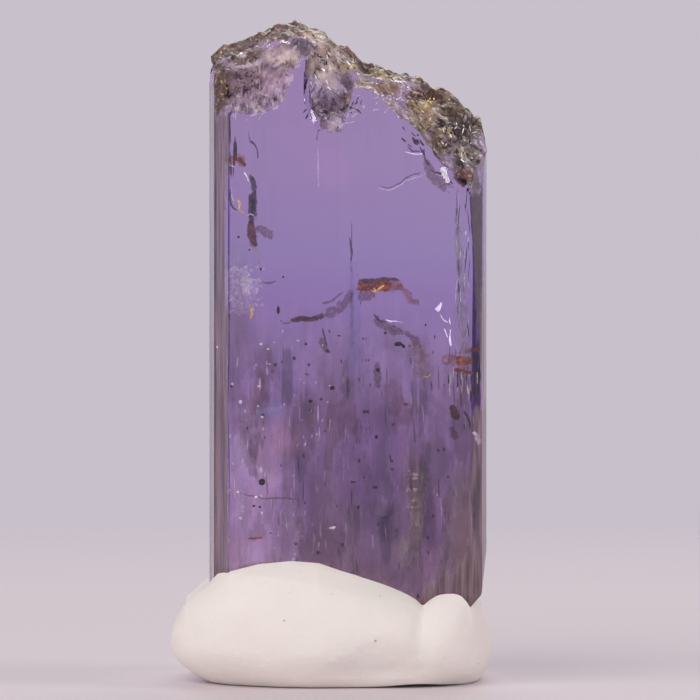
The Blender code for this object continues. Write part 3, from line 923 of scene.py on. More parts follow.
# Painted shadow on the darkest shards, then painted silver and gold glints on the brightest ones.
crust_colour = crystal_finish.blend(pattern.between(0.36, 0.20) * glint_and_crumple_share, crust_colour, SHARD_SHADOW)
gilded = crystal_finish.noise(crystal_place, 1.1, detail=1.0).between(0.50, 0.58)
glint = crystal_finish.blend(gilded, SILVER_GLINT, GOLDEN_GLINT)
crust_colour = crystal_finish.blend(pattern.between(0.68, 0.80) * glint_and_crumple_share, crust_colour, glint)
wisps = crystal_finish.noise(crystal_finish.place((14, 14, 0.5)), detail=2.0)
sound_cover = (cover * 1.6 - wisps).clipped()
rough_cover = (cover * 1.7 - grit * 0.5 - pattern * 0.4 + 0.02).clipped() * (1.0 - low) + sound_cover * low
crust_normal = crystal_finish.bump(pattern * glint_and_crumple_share, 0.10)
crystal_finish.coat_over(rough_cover, crust_colour, crust_normal, roughness=0.30)
absorption = crystal_finish.tree.nodes.new("ShaderNodeVolumeAbsorption")
absorption.inputs["Color"].default_value = opaque(ABSORPTION_COLOUR)
absorption.inputs["Density"].default_value = ABSORPTION_DENSITY
crystal_finish.tree.links.new(absorption.outputs[0], crystal_finish.output.inputs["Volume"])

mesh = bpy.data.meshes.new("tanzanite")
mesh.from_pydata((points * MM).tolist(), [], walls.tolist() + hub.tolist())
mesh.update()
mesh.shade_smooth()
mesh.set_sharp_from_angle(angle=math.radians(18))
low_share = smooth_step(-z, -17.5, -13.0) * (1 - broken)
low_share = np.maximum(low_share, np.maximum(on_left, on_right * sound))
for name, values in (("crust", crust.cover), ("glint_and_crumple", crust.glitter), ("low", low_share)):
    mesh.attributes.new(name, "FLOAT", "POINT").data.foreach_set("value", values)
for name, colours in (("tint", tint), ("stain", crust.colour)):
    opaque_colours = np.column_stack([np.clip(colours, 0, 1), np.ones(len(points))])
    mesh.attributes.new(name, "FLOAT_COLOR", "POINT").data.foreach_set("color", opaque_colours.ravel())
mesh.materials.append(crystal_finish.material)
crystal = bpy.data.objects.new("tanzanite", mesh)
bpy.context.scene.collection.objects.link(crystal)
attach(crystal, "root")
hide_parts("tanzanite_crystal")

# Inclusions: what grew, broke or seeped in inside the crystal, placed where it shows through the front face.
# First the thin films: rust along partings, healed fractures, cracks, a growth tube and pale veils, and white
# and gold glints of fractures, painted highlights that glow.
RUST = ((0.98, 0.25, 0.040), (0.40, 0.060, 0.025))
RED_BROWN = ((0.48, 0.12, 0.09), (0.19, 0.050, 0.060))
BROWN_FILM = ((0.60, 0.27, 0.20), (0.26, 0.09, 0.09))
DARK_FILM = ((0.050, 0.018, 0.075), (0.20, 0.11, 0.24))
OLIVE_FILM = ((0.50, 0.34, 0.22), (0.20, 0.12, 0.09))
PALE_FILM = ((0.95, 0.90, 0.98), (0.72, 0.60, 0.80))
BLUE_FILM = ((0.66, 0.66, 0.90), (0.54, 0.50, 0.76))
GREY_FILM = ((0.72, 0.64, 0.66), (0.44, 0.36, 0.42))
TAN_FILM = ((0.85, 0.60, 0.50), (0.60, 0.38, 0.36))
GOLD = ((1.00, 0.74, 0.28), (0.70, 0.36, 0.12))


def seen_inside(column, row, depth):
    """The point at that depth in the crystal that shows at a pixel. The glass makes depths look less."""
    x, z = seen_at(column, row, FRONT_FACE + (depth - FRONT_FACE) / CRYSTAL_IOR)
    return np.stack([x, np.broadcast_to(depth, np.shape(x)), z], axis=-1)


# How far under the broken top a piece that lies on it is kept, and the steps in depth that look for it.
BELOW_ROOF = 0.12
DEPTH_STEP = 0.05


def in_or_on(column, row, depth):
    """The depths, moved back where they would lie in the air before the broken top.

    Depths are tried in small steps from the front face, and the first one under the roof is taken.
    """
    x, _, z = seen_inside(column, row, depth).T
    resting = np.array(np.broadcast_to(depth, np.shape(x)), dtype=float)
    in_air = z > roof_height(x, resting) - BELOW_ROOF
    for step in np.arange(FRONT_FACE, CREST_Y, DEPTH_STEP):
        x, z = seen_at(column, row, step)
        reached = in_air & (z < roof_height(x, step) - BELOW_ROOF)
        resting[reached] = np.maximum(step, resting[reached])
        in_air = in_air & ~reached
    return resting


def smooth_path(knots, count):
    """Points at even steps along the curve through the knots, with its tangents set by their neighbours."""
    knots = np.asarray(knots, dtype=float)
    padded = np.vstack([2 * knots[0] - knots[1], knots, 2 * knots[-1] - knots[-2]])
    place = np.linspace(0, len(knots) - 1, count)
    first = np.minimum(place.astype(int), len(knots) - 2)
    share = (place - first)[:, None]
    before, start, end, after = (padded[first + step] for step in range(4))
    bend = (2 * before - 5 * start + 4 * end - after) * share**2
    twist = (3 * start - before - 3 * end + after) * share**3
    return 0.5 * (2 * start + (end - before) * share + bend + twist)


def film_points(seen, depth, half_widths, lean, rows=70, columns=10, seed=5):
    """A band along the smooth curve through the seen pixels.

    It spreads square to the curve by its half width, leans into the depth by an angle and is softly wavy.
    """
    path = smooth_path(seen, rows)
    spine = seen_inside(path[:, 0], path[:, 1], in_or_on(path[:, 0], path[:, 1], depth))
    along = np.gradient(spine, axis=0)
    along /= np.linalg.norm(along, axis=1)[:, None]
    square = np.stack([-along[:, 2], 0 * along[:, 0], along[:, 0]], axis=1)
    out = square + np.array([0, math.tan(math.radians(lean)), 0])
    width = np.interp(np.linspace(0, 1, rows), np.linspace(0, 1, len(half_widths)), half_widths)
    across = np.linspace(-1, 1, columns)
    points = spine[:, None] + out[:, None] * (width[:, None] * across)[..., None]
    points[..., 1] += 0.30 * (value_noise(points * 2.2, seed) - 0.5)
    points[..., 2] += 0.12 * (value_noise(points * 3.0, seed + 1) - 0.5)
    return points


def film_finish(name, colours, cover, grain=4.5, ragged=1.0, glow=0.0, fade=8.0, stretch=1.0):
    """A stained film: two colours in patches, worn away at its edges and through by a grain of that scale.

    A smaller fade thins it out sooner towards its ends, and a stretch below 1 draws its grain out upright.
    A glow above 0 makes it shine by itself in its own colours, which is painted light.
    """
    finish = Finish(name, Roughness=0.30)
    along = finish.node("SeparateXYZ", [finish.node("UVMap", output="UV")], output="X")
    across = finish.node("SeparateXYZ", [finish.node("UVMap", output="UV")], output="Y")
    inside = (along * (1.0 - along) * fade).clipped() * (across * (1.0 - across) * 4.0)
    place = finish.warped(finish.place((1, 1, stretch)), 2.5, 0.15)
    wear = finish.noise(place, grain, detail=4.0, roughness=0.65)
    patchy = finish.noise(place, grain * 1.3, detail=2.0)
    colour = finish.blend(patchy.between(0.40, 0.60), *colours)
    finish.set("Base Color", colour)
    worn = (inside + (wear - 0.5) * (2.4 * ragged) - 0.22).between(0.0, 0.50)
    finish.set("Alpha", worn * (inside * 3.0).clipped() * cover)
    if glow:
        finish.set("Emission Color", colour)
        finish.set("Emission Strength", glow)
    return finish


def add_film(name, points, finish):
    """One open sheet from a grid of points, with its UV map along and across it."""
    rows, columns = points.shape[:2]
    numbers = np.arange(rows * columns).reshape(rows, columns)
    quads = np.stack([numbers[:-1, :-1], numbers[1:, :-1], numbers[1:, 1:], numbers[:-1, 1:]], axis=-1)
    piece = grid_piece(name, points.reshape(-1, 3), quads.reshape(-1, 4), finish)
    u, v = np.meshgrid(np.linspace(0, 1, rows), np.linspace(0, 1, columns), indexing="ij")
    corners = np.stack([u.ravel(), v.ravel()], axis=1)[quads.ravel()]
    piece.data.uv_layers.new(name="UVMap").data.foreach_set("uv", corners.ravel())
    piece.data.shade_smooth()
    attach(piece, "root")


# Each film: name, finish, depth, lean, the pixels that it runs through and its half widths along them.
# The white_glint and gold_glint films are painted highlights, and every finish given a glow shines by itself:
# painted light over the film's own colour.
rust = film_finish("rust_film", RUST, 0.92, grain=4.0, ragged=1.2, glow=0.09)
rust_thin = film_finish("thin_rust", RUST, 0.55, grain=3.0, ragged=1.6, glow=0.08)
red = film_finish("red_brown_film", RED_BROWN, 0.90)
brown = film_finish("brown_film", BROWN_FILM, 0.58, ragged=1.3)
dark = film_finish("dark_fracture", DARK_FILM, 0.88)
olive = film_finish("olive_fracture", OLIVE_FILM, 0.62, ragged=1.3)
pale = film_finish("pale_veil", PALE_FILM, 0.55, glow=0.45)
pale_thin = film_finish("pale_thin_veil", PALE_FILM, 0.30, grain=3.0, ragged=1.5, glow=0.40)
blue = film_finish("blue_veil", BLUE_FILM, 0.26, grain=3.0, ragged=1.6, glow=0.34, stretch=0.6)
grey = film_finish("grey_veil", GREY_FILM, 0.50, grain=5.0, ragged=1.6, glow=0.14, fade=6.0, stretch=0.35)
tan = film_finish("tan_veil", TAN_FILM, 0.46, grain=2.6, ragged=1.4, glow=0.14, fade=5.0)
gold = film_finish("gold_glint", GOLD, 1.0, glow=0.45)
white = film_finish("white_glint", PALE_FILM, 1.0, glow=1.0)
crack = film_finish("crack", DARK_FILM, 0.80, grain=6.0, ragged=0.5)
FILMS = (
    ("rust_parting", rust, -2.2, 40,
     ((355, 285), (368, 286), (382, 286), (393, 286)), (0.34, 0.38, 0.36, 0.26)),
    ("rust_parting_end", rust_thin, -2.3, 40, ((380, 286), (392, 286), (404, 288)), (0.30, 0.34, 0.24)),
    ("rust_parting_tail", rust_thin, -2.1, 40,
     ((396, 284), (404, 290), (411, 299), (418, 304)), (0.2, 0.2, 0.22, 0.1)),
    ("rust_parting_haze", brown, -1.9, 10, ((357, 296), (366, 297), (376, 295)), (0.20, 0.26, 0.16)),
    ("rust_dark_edge", red, -2.4, 0,
     ((357, 280), (372, 280), (388, 279), (402, 281)), (0.10, 0.13, 0.10, 0.06)),
    ("rust_gold_glint", gold, -2.5, 0,
     ((369, 289), (376, 291), (381, 287), (385, 284)), (0.03, 0.06, 0.07, 0.03)),
    ("rust_gold_edge", gold, -2.5, 0, ((373, 287), (378, 292), (384, 290)), (0.02, 0.04, 0.02)),
    ("brown_parting", red, -1.6, 30,
     ((288, 320), (299, 319), (312, 319), (326, 315)), (0.09, 0.17, 0.15, 0.14)),
    ("brown_parting_end", brown, -1.5, 30,
     ((322, 318), (333, 311), (344, 303), (353, 288)), (0.2, 0.3, 0.3, 0.16)),
    ("brown_parting_start", brown, -1.5, 20, ((280, 321), (286, 323), (293, 320)), (0.04, 0.08, 0.06)),
    ("brown_upper_line", brown, -1.2, 20, ((321, 304), (332, 300), (345, 292)), (0.05, 0.09, 0.05)),
    ("brown_hook", brown, -1.8, 10,
     ((319, 337), (322, 343), (326, 349), (332, 352)), (0.16, 0.18, 0.14, 0.08)),
    ("hook_line", crack, -1.8, 0, ((322, 328), (324, 336), (327, 346)), (0.03, 0.05, 0.04)),
    ("curved_fracture", olive, -2.0, 35,
     ((372, 315), (382, 324), (394, 330), (406, 332)), (0.14, 0.26, 0.26, 0.15)),
    ("curved_fracture_end", brown, -1.9, 30,
     ((404, 330), (412, 338), (419, 350), (424, 366)), (0.10, 0.16, 0.2, 0.2)),
    ("fracture_edge", crack, -2.1, 0, ((373, 315), (380, 320), (387, 322)), (0.04, 0.06, 0.03)),
    ("fracture_glint", white, -2.3, 0,
     ((385, 320), (390, 322), (395, 322), (404, 323)), (0.015, 0.035, 0.02, 0.015)),
    ("tan_veil", tan, -2.4, 15, ((410, 338), (416, 352), (421, 366), (425, 380)), (0.36, 0.52, 0.56, 0.3)),
    ("pale_squiggle", gold, -1.8, 0,
     ((420, 383), (424, 377), (428, 377), (432, 372)), (0.02, 0.05, 0.03, 0.03)),
    ("silver_triangle", white, -2.8, 0, ((436, 311), (439, 307), (442, 302)), (0.12, 0.11, 0.03)),
    ("silver_zigzag", white, -2.8, 0, ((440, 313), (444, 320), (449, 323)), (0.02, 0.03, 0.025)),
    ("silver_zigzag_2", white, -2.8, 0, ((450, 315), (450, 321), (451, 326)), (0.02, 0.045, 0.02)),
    ("silver_zigzag_3", white, -2.8, 0, ((444, 328), (446, 332), (448, 338)), (0.02, 0.03, 0.02)),
    ("silver_zigzag_4", white, -2.8, 0, ((451, 328), (450, 337), (451, 347)), (0.02, 0.05, 0.08)),
    ("right_rust", rust, -3.05, 25,
     ((455, 363), (461, 361), (468, 361), (474, 362)), (0.14, 0.26, 0.24, 0.12)),
    ("right_rust_start", rust_thin, -3.05, 25, ((440, 361), (448, 360), (458, 361)), (0.18, 0.30, 0.26)),
    ("right_rust_low", rust, -3.05, 20, ((452, 369), (463, 371), (475, 373)), (0.08, 0.10, 0.06)),
    ("right_rust_high", rust_thin, -2.4, 30, ((455, 352), (466, 352), (476, 350)), (0.05, 0.12, 0.10)),
    ("right_rust_edge", rust, -1.6, 30, ((474, 351), (479, 349), (484, 346)), (0.10, 0.13, 0.08)),
    ("loop_cap", rust_thin, -2.9, 20,
     ((226, 165), (232, 159), (239, 159), (246, 167)), (0.14, 0.26, 0.28, 0.20)),
    ("loop_cap_rust", red, -2.9, 20, ((233, 159), (239, 160), (246, 166)), (0.07, 0.14, 0.10)),
    ("loop_highlight", pale, -3.0, 0, ((227, 165), (231, 166), (235, 168)), (0.04, 0.06, 0.03)),
    ("loop_glint", white, -3.0, 0, ((243, 171), (246, 176), (249, 182)), (0.015, 0.03, 0.015)),
    ("loop_side", dark, -2.7, 15, ((250, 172), (254, 184), (254, 200), (255, 222)), (0.10, 0.14, 0.16, 0.14)),
    ("loop_side_low", dark, -2.6, 15,
     ((250, 192), (252, 204), (251, 214), (252, 225)), (0.10, 0.17, 0.14, 0.12)),
    ("loop_gap", pale, -2.9, 0, ((247, 216), (251, 214), (254, 216)), (0.03, 0.07, 0.04)),
    ("loop_foot", red, -2.6, 20, ((250, 220), (251, 232), (256, 248)), (0.16, 0.26, 0.14)),
    ("loop_foot_haze", brown, -2.2, 10, ((254, 228), (264, 231), (274, 238)), (0.22, 0.30, 0.16)),
    ("loop_foot_line", tan, -2.7, 0,
     ((246, 238), (252, 245), (258, 252), (259, 270)), (0.05, 0.08, 0.10, 0.07)),
    ("loop_left", crack, -2.9, 0, ((230, 186), (229, 198), (232, 207), (238, 212)), (0.04, 0.07, 0.06, 0.03)),
    ("loop_left_light", pale, -3.0, 0, ((231, 186), (231, 195), (234, 203)), (0.02, 0.05, 0.03)),
    ("loop_gold", gold, -3.0, 0, ((236, 199), (239, 204), (239, 209), (244, 213)), (0.03, 0.07, 0.06, 0.03)),
    ("blue_patch", blue, -2.4, 10, ((230, 268), (234, 258), (239, 246)), (0.30, 0.42, 0.24)),
    ("pale_patch", pale_thin, -2.2, 10,
     ((228, 266), (238, 282), (242, 296), (236, 316)), (0.4, 0.8, 0.8, 0.4)),
    ("pale_bright", pale_thin, -2.6, 10, ((240, 278), (248, 285), (256, 293)), (0.2, 0.36, 0.2)),
    ("veil_gold", gold, -2.8, 0, ((250, 304), (252, 311), (251, 320)), (0.03, 0.06, 0.04)),
    ("olive_streak", olive, -1.8, 0, ((261, 282), (269, 283), (277, 281)), (0.03, 0.09, 0.03)),
    ("tube", crack, -0.6, 0, ((350, 236), (351, 244), (352, 254), (350.5, 264)), (0.02, 0.06, 0.07, 0.03)),
    ("tube_high", dark, -0.6, 0, ((352, 222), (352, 234), (352, 246)), (0.01, 0.02, 0.02)),
    ("tube_low", grey, -0.6, 0, ((351, 255), (352, 300), (352, 352)), (0.05, 0.10, 0.10)),
    ("tube_light", blue, -0.4, 0, ((355, 240), (356, 285), (357, 345)), (0.05, 0.10, 0.12)),
    ("crack_high", crack, -2.0, 0,
     ((249, 129), (251, 138), (257, 150), (258, 160)), (0.02, 0.04, 0.045, 0.03)),
    ("crack_middle", crack, -2.0, 0, ((319, 129), (317, 135), (316, 141)), (0.03, 0.02, 0.05)),
    ("upright_light", pale, -2.0, 0, ((317.5, 144), (318, 165), (318.5, 190)), (0.02, 0.035, 0.02)),
    ("arc", pale, -2.4, 0, ((374, 186), (390, 190), (408, 180), (430, 172)), (0.02, 0.04, 0.04, 0.02)),
    ("arc_shade", crack, -2.2, 0,
     ((376, 184), (391, 188), (408, 177), (424, 171)), (0.01, 0.025, 0.03, 0.015)),
    ("white_line", white, -2.9, 0, ((404, 151), (413, 154), (423, 153)), (0.01, 0.02, 0.03)),
    ("white_line_shade", crack, -2.7, 0, ((407, 147), (412, 151), (420, 152)), (0.02, 0.05, 0.03)),
    ("broken_line", dark, -2.6, 0, ((416, 131), (424, 138), (430, 142)), (0.03, 0.07, 0.06)),
    ("wedge", red, -2.4, 25, ((452, 164), (459, 176), (468, 192)), (0.34, 0.52, 0.26)),
    ("wedge_under", red, -2.2, 10, ((455, 166), (463, 178), (472, 192)), (0.3, 0.45, 0.2)),
    ("wedge_dark", dark, -2.6, 10, ((455, 168), (463, 178), (476, 192)), (0.12, 0.24, 0.08)),
    ("loop_of_breaks", brown, -2.7, 20,
     ((425, 158), (428, 166), (436, 180), (452, 192)), (0.10, 0.22, 0.30, 0.12)),
    ("loop_of_breaks_2", dark, -2.8, 0, ((428, 168), (440, 174), (452, 190)), (0.03, 0.05, 0.03)),
    ("loop_of_breaks_3", crack, -2.8, 0, ((424, 148), (425, 158), (430, 166)), (0.05, 0.06, 0.04)),
    ("dark_blot", red, -2.2, 10, ((452, 404), (455, 412), (458, 421)), (0.14, 0.26, 0.16)),
    ("dark_blot_low", brown, -2.2, 10, ((450, 427), (454, 433), (458, 440)), (0.12, 0.22, 0.12)),
    ("dark_curve", dark, -2.9, 0, ((462, 409), (468, 418), (471, 428), (476, 438)), (0.04, 0.07, 0.06, 0.05)),
    ("white_sparkle", white, -3.3, 0, ((473, 432), (478, 438), (480, 446)), (0.06, 0.20, 0.09)),
    ("orange_lens", rust, -2.6, 0, ((247, 538), (255, 539), (263, 538)), (0.02, 0.08, 0.02)),
    ("faint_line", brown, -2.4, 0,
     ((236, 493), (255, 497), (275, 499), (300, 499)), (0.04, 0.05, 0.05, 0.03)),
    ("bronze_column", olive, -1.2, 0, ((377, 360), (377, 374), (378, 390)), (0.12, 0.24, 0.10)),
    ("pale_streak", blue, -2.7, 0, ((254, 414), (268, 411), (287, 406)), (0.05, 0.16, 0.05)),
    ("low_blue_spark", blue, -2.9, 0, ((232, 518), (237, 510), (243, 504)), (0.10, 0.22, 0.10)),
    ("spark_in_middle", white, -2.8, 0, ((328, 528), (332, 528), (336, 527)), (0.03, 0.09, 0.03)),
    ("spark_halo", blue, -2.6, 0, ((323, 530), (331, 528), (339, 526)), (0.08, 0.20, 0.08)),
    ("grey_column", grey, -2.4, 10,
     ((424, 450), (420, 500), (416, 535), (405, 578)), (0.14, 0.40, 0.44, 0.34)),
    ("grey_column_core", grey, -2.6, 10, ((422, 462), (418, 505), (413, 545)), (0.10, 0.22, 0.20)),
    ("groove_band", grey, -2.9, 0,
     ((457, 200), (460, 250), (462, 320), (462, 402)), (0.10, 0.20, 0.30, 0.36)),
    ("groove_band_high", grey, -2.9, 0, ((456, 196), (457, 235), (460, 275)), (0.06, 0.12, 0.14)),
    ("olive_wedge", olive, -3.3, 30,
     ((317, 124), (325, 126), (333, 129), (343, 131)), (0.16, 0.24, 0.20, 0.10)),
    ("olive_wedge_gold", gold, -3.0, 0, ((329, 127), (334, 128), (336, 130)), (0.02, 0.05, 0.03)),
    ("red_spot", red, -3.2, 0, ((345, 99), (349, 98), (353, 100)), (0.12, 0.20, 0.10)),
    ("orange_spot", rust, -2.9, 0, ((291, 67), (296, 66), (301, 66)), (0.05, 0.09, 0.04)),
    ("diagonal_glint", white, -2.9, 0, ((321, 67), (326, 73), (333, 81)), (0.02, 0.05, 0.02)),
    ("light_parting", pale, -3.4, 0, ((405, 77), (402, 85), (401, 97)), (0.02, 0.03, 0.02)),
    ("thin_arc_glint", pale, -2.8, 0, ((334, 121), (345, 123), (356, 121)), (0.02, 0.05, 0.02)),
)
for number, (name, finish, depth, lean, seen, half_widths) in enumerate(FILMS):
    add_film(name, film_points(seen, depth, half_widths, lean, seed=100 + number), finish)

# The lower half is clouded by healed cracks that stand upright: pale, brown and dark ones at all depths.
# The pale and brown ones also glow a little, which is painted light over their own colour.
HAZE_BOX = ((232, 474), (366, 565))
HAZE_TOP = 336
HAZE_COUNT = 60
HAZE_WEAR = {"grain": 2.4, "ragged": 1.7, "fade": 4.0, "stretch": 0.35}
pale_haze = film_finish("pale_haze", PALE_FILM, 0.30, glow=0.26, **HAZE_WEAR)
brown_haze = film_finish("brown_haze", BROWN_FILM, 0.36, glow=0.08, **HAZE_WEAR)
dark_haze = film_finish("dark_haze", DARK_FILM, 0.34, **HAZE_WEAR)
hazes = np.random.default_rng(77)
for number in range(HAZE_COUNT):
    column, row = (hazes.uniform(*limits) for limits in HAZE_BOX)
    length, slant = hazes.uniform(14, 60), hazes.uniform(-8, 8)
    top, bottom = max(row - length, HAZE_TOP), row + length
    middle = (column + hazes.uniform(-3, 3), (top + bottom) / 2)
    seen = ((column, top), middle, (column + slant, bottom))
    half_widths = hazes.uniform(0.12, 0.65) * np.array((0.5, 1.0, 0.5))
    finish = (pale_haze, brown_haze, dark_haze, pale_haze)[number % 4]
    depth = hazes.uniform(-3.1, 2.2)
    add_film(f"haze_{number}", film_points(seen, depth, half_widths, 20, seed=200 + number), finish)


# Then the small bodies: grains, bubbles, needles and splinters, each kind joined in one mesh of flat lenses.
LENS_SIDES = 8
LENS_CLIMBS = (-0.95, -0.35, 0.35, 0.95)


def lens_points(places):
    """A small lens at each place, given as column, row, depth, half width, half height and lean."""
    column, row, depth, half_width, half_height, lean = np.array(places, dtype=float).T
    turn = np.linspace(0, 2 * math.pi, LENS_SIDES, endpoint=False)
    climb = np.array(LENS_CLIMBS)[:, None]
    level = np.cos(climb)
    ball = np.stack([level * np.cos(turn), level * np.sin(turn), np.sin(climb) + 0 * turn], axis=-1)
    ball = np.vstack([ball.reshape(-1, 3), [[0, 0, -1], [0, 0, 1]]])
    half_depth = np.minimum(half_width, half_height)
    shaped = ball * np.stack([half_width, half_depth, half_height], axis=-1)[:, None]
    sin, cos = np.sin(np.radians(lean))[:, None], np.cos(np.radians(lean))[:, None]
    across, inward, upright = np.moveaxis(shaped, -1, 0)
    turned = np.stack([across * cos + upright * sin, inward, upright * cos - across * sin], axis=-1)
    rings = np.arange(LENS_SIDES * len(LENS_CLIMBS)).reshape(len(LENS_CLIMBS), LENS_SIDES)
    quads = np.vstack([quads_between(low, high) for low, high in zip(rings[:-1], rings[1:])])
    ends = np.vstack([fan(rings[0][::-1], rings.size), fan(rings[-1], rings.size + 1)])
    starts = np.arange(len(places))[:, None, None] * len(ball)
    faces = (quads + starts).reshape(-1, 4).tolist() + (ends + starts).reshape(-1, 3).tolist()
    return (turned + seen_inside(column, row, depth)[:, None]).reshape(-1, 3), faces


def add_lenses(name, places, finish):
    """All the lenses of one kind, joined in one piece."""
    piece = grid_piece(name, *lens_points(places), finish)
    piece.data.shade_smooth()
    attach(piece, "root")


def scattered(seed, count, box, depths, half_widths, half_heights, leans):
    """That many lenses at random in a box of pixels (left, top, right, bottom), sized between limits."""
    rng = np.random.default_rng(seed)
    left, top, right, bottom = box
    limits = ((left, right), (top, bottom), depths, half_widths, half_heights, leans)
    places = np.stack([rng.uniform(*limit, count) for limit in limits], axis=1)
    places[:, 2] = in_or_on(*places.T[:3])
    x, _, z = seen_inside(*places.T[:3]).T
    return places[z < np.interp(x, *zip(*CREST_LINE)) - 0.5]


def body_finish(name, colour, alpha=1.0, glow=0.0, roughness=0.3):
    """A finish for small bodies: patches of the colour and of 0.6 of it, which may glow a little as painted
    light.
    """
    finish = Finish(name, Roughness=roughness)
    patchy = finish.noise(finish.place(), 6.0, detail=2.0).between(0.35, 0.65)
    shade = finish.blend(patchy, colour, [part * 0.6 for part in colour])
    finish.set("Base Color", shade)
    finish.set("Alpha", alpha)
    finish.set("Emission Color", shade)
    finish.set("Emission Strength", glow)
    return finish


grain_finish = body_finish("dark_grain", (0.035, 0.018, 0.030))
GRAINS = (
    (238, 237, -3.0, 0.06, 0.05, 0),
    (250, 250, -2.6, 0.05, 0.05, 0),
    (261, 269, -2.4, 0.05, 0.07, 20),
    (278, 310, -1.5, 0.08, 0.18, 0),
    (284, 277, -2.2, 0.06, 0.05, 0),
    (306, 344, -1.8, 0.07, 0.06, 20),
    (385, 333, -2.0, 0.06, 0.06, 0),
    (398, 344, -1.6, 0.16, 0.10, -10),
    (403, 346, -1.6, 0.14, 0.08, 30),
    (409, 346, -1.6, 0.05, 0.05, 0),
    (419, 346, -1.7, 0.06, 0.07, 0),
    (378, 370, -1.4, 0.09, 0.09, 0),
    (254, 506, -2.6, 0.06, 0.05, 0),
    (260, 507, -2.6, 0.06, 0.05, 0),
    (262, 482, -2.8, 0.15, 0.15, 0),
    (311, 115, -2.7, 0.08, 0.12, -35),
    (327, 351, -1.8, 0.09, 0.06, 20),
    (361, 303, -1.8, 0.03, 0.08, 0),
    (425, 325, -1.8, 0.05, 0.05, 0),
    (247, 428, -2.4, 0.05, 0.10, 0),
    (231, 386, -2.9, 0.05, 0.08, 0),
    (332, 388, -1.6, 0.10, 0.09, -20),
    (310, 401, -1.6, 0.09, 0.08, 0),
    (310, 410, -1.6, 0.07, 0.05, 0),
    (282, 362, -1.8, 0.04, 0.06, 0),
    (352, 482, -1.7, 0.06, 0.05, 0),
    (376, 437, -1.7, 0.07, 0.09, 10),
    (358, 507, -1.7, 0.06, 0.08, 0),
)
add_lenses("dark_grains", GRAINS, grain_finish)
faint_grains = scattered(7, 60, (262, 330, 470, 560), (-2.5, 1.5), (0.03, 0.08), (0.03, 0.10), (-20, 20))
add_lenses("faint_grains", faint_grains, body_finish("faint_grain", (0.10, 0.05, 0.11), alpha=0.55))

# Sparks: painted highlights, small white lenses that glow where the fractures catch the light.
SPARKS = (
    (261, 344, -3.1, 0.07, 0.06, 0),
    (218, 347, -2.9, 0.07, 0.06, 0),
    (232, 384, -3.1, 0.06, 0.06, 0),
    (259, 386, -3.0, 0.08, 0.04, -20),
    (240, 402, -3.1, 0.08, 0.08, 0),
    (258, 406, -3.0, 0.05, 0.05, 0),
    (262, 417, -3.0, 0.07, 0.05, 0),
    (240, 518, -3.0, 0.07, 0.06, 0),
    (262, 513, -2.9, 0.05, 0.06, 0),
    (237, 492, -3.0, 0.06, 0.05, 0),
    (256, 497, -3.0, 0.06, 0.05, 0),
    (227, 541, -3.0, 0.06, 0.06, 0),
    (224, 169, -3.1, 0.03, 0.08, 0),
    (268, 349, -3.0, 0.06, 0.04, -30),
    (293, 50, -2.9, 0.06, 0.05, 0),
    (277, 57, -2.9, 0.07, 0.07, 0),
    (241, 53, -2.9, 0.07, 0.06, 30),
    (462, 162, -2.8, 0.05, 0.05, 0),
    (470, 167, -2.8, 0.05, 0.07, 20),
    (460, 168, -2.8, 0.05, 0.05, 0),
    (466, 233, -3.0, 0.04, 0.09, 10),
    (416, 525, -2.4, 0.04, 0.05, 0),
    (437, 495, -2.4, 0.03, 0.05, 0),
)
spark_finish = body_finish("spark", (0.98, 0.96, 1.0), glow=0.60)
add_lenses("sparks", SPARKS, spark_finish)
# Bubbles: pale lenses that also glow a little, which is painted light.
bubbles = scattered(11, 46, (228, 266, 264, 312), (-3.0, -1.8), (0.04, 0.11), (0.04, 0.10), (-40, 40))
big_bubbles = scattered(12, 18, (242, 278, 258, 294), (-3.0, -2.4), (0.06, 0.13), (0.05, 0.12), (-40, 40))
bubble = body_finish("bubble", (0.92, 0.82, 0.93), alpha=0.38, glow=0.34)
add_lenses("bubbles", np.vstack([bubbles, big_bubbles]), bubble)
chain = scattered(13, 16, (407, 470, 415, 508), (-2.6, -2.0), (0.03, 0.07), (0.04, 0.09), (-20, 20))
lower_bubbles = scattered(14, 50, (225, 330, 330, 560), (-3.0, -1.0), (0.02, 0.06), (0.03, 0.10), (-20, 20))
pale_bubble = body_finish("pale_bubble", (0.90, 0.82, 0.95), alpha=0.5, glow=0.45)
add_lenses("lower_bubbles", np.vstack([chain, lower_bubbles]), pale_bubble)

NEEDLES = (
    (247, 446, -2.8, 0.040, 0.24, 0),
    (237, 362, -2.9, 0.035, 0.25, 8),
    (267, 371, -2.8, 0.035, 0.20, -6),
    (260, 384, -2.8, 0.045, 0.28, 0),
    (318, 414, -2.4, 0.035, 0.40, 0),
    (289, 422, -2.4, 0.030, 0.22, 0),
    (261, 470, -2.8, 0.070, 0.16, 0),
    (441, 507, -2.2, 0.030, 0.42, -5),
    (457, 492, -2.2, 0.030, 0.24, -8),
    (372, 542, -2.2, 0.035, 0.32, 0),
    (320, 530, -2.2, 0.035, 0.40, 0),
    (326, 546, -2.2, 0.030, 0.30, 0),
    (313, 540, -2.2, 0.030, 0.35, 0),
)
# The pale needles also glow a little, which is painted light.
needle_finish = body_finish("pale_needle", (0.92, 0.80, 0.95), alpha=0.50, glow=0.40)
low_needles = scattered(15, 90, (228, 380, 480, 570), (-3.2, 1.0), (0.008, 0.022), (0.10, 0.50), (-6, 6))
add_lenses("needles", np.vstack([NEEDLES, low_needles]), needle_finish)
dark_needles = scattered(16, 34, (262, 340, 482, 575), (-2.8, 1.5), (0.012, 0.035), (0.15, 0.60), (-5, 5))
add_lenses("dark_needles", dark_needles, body_finish("dark_needle", (0.10, 0.05, 0.13), alpha=0.45))

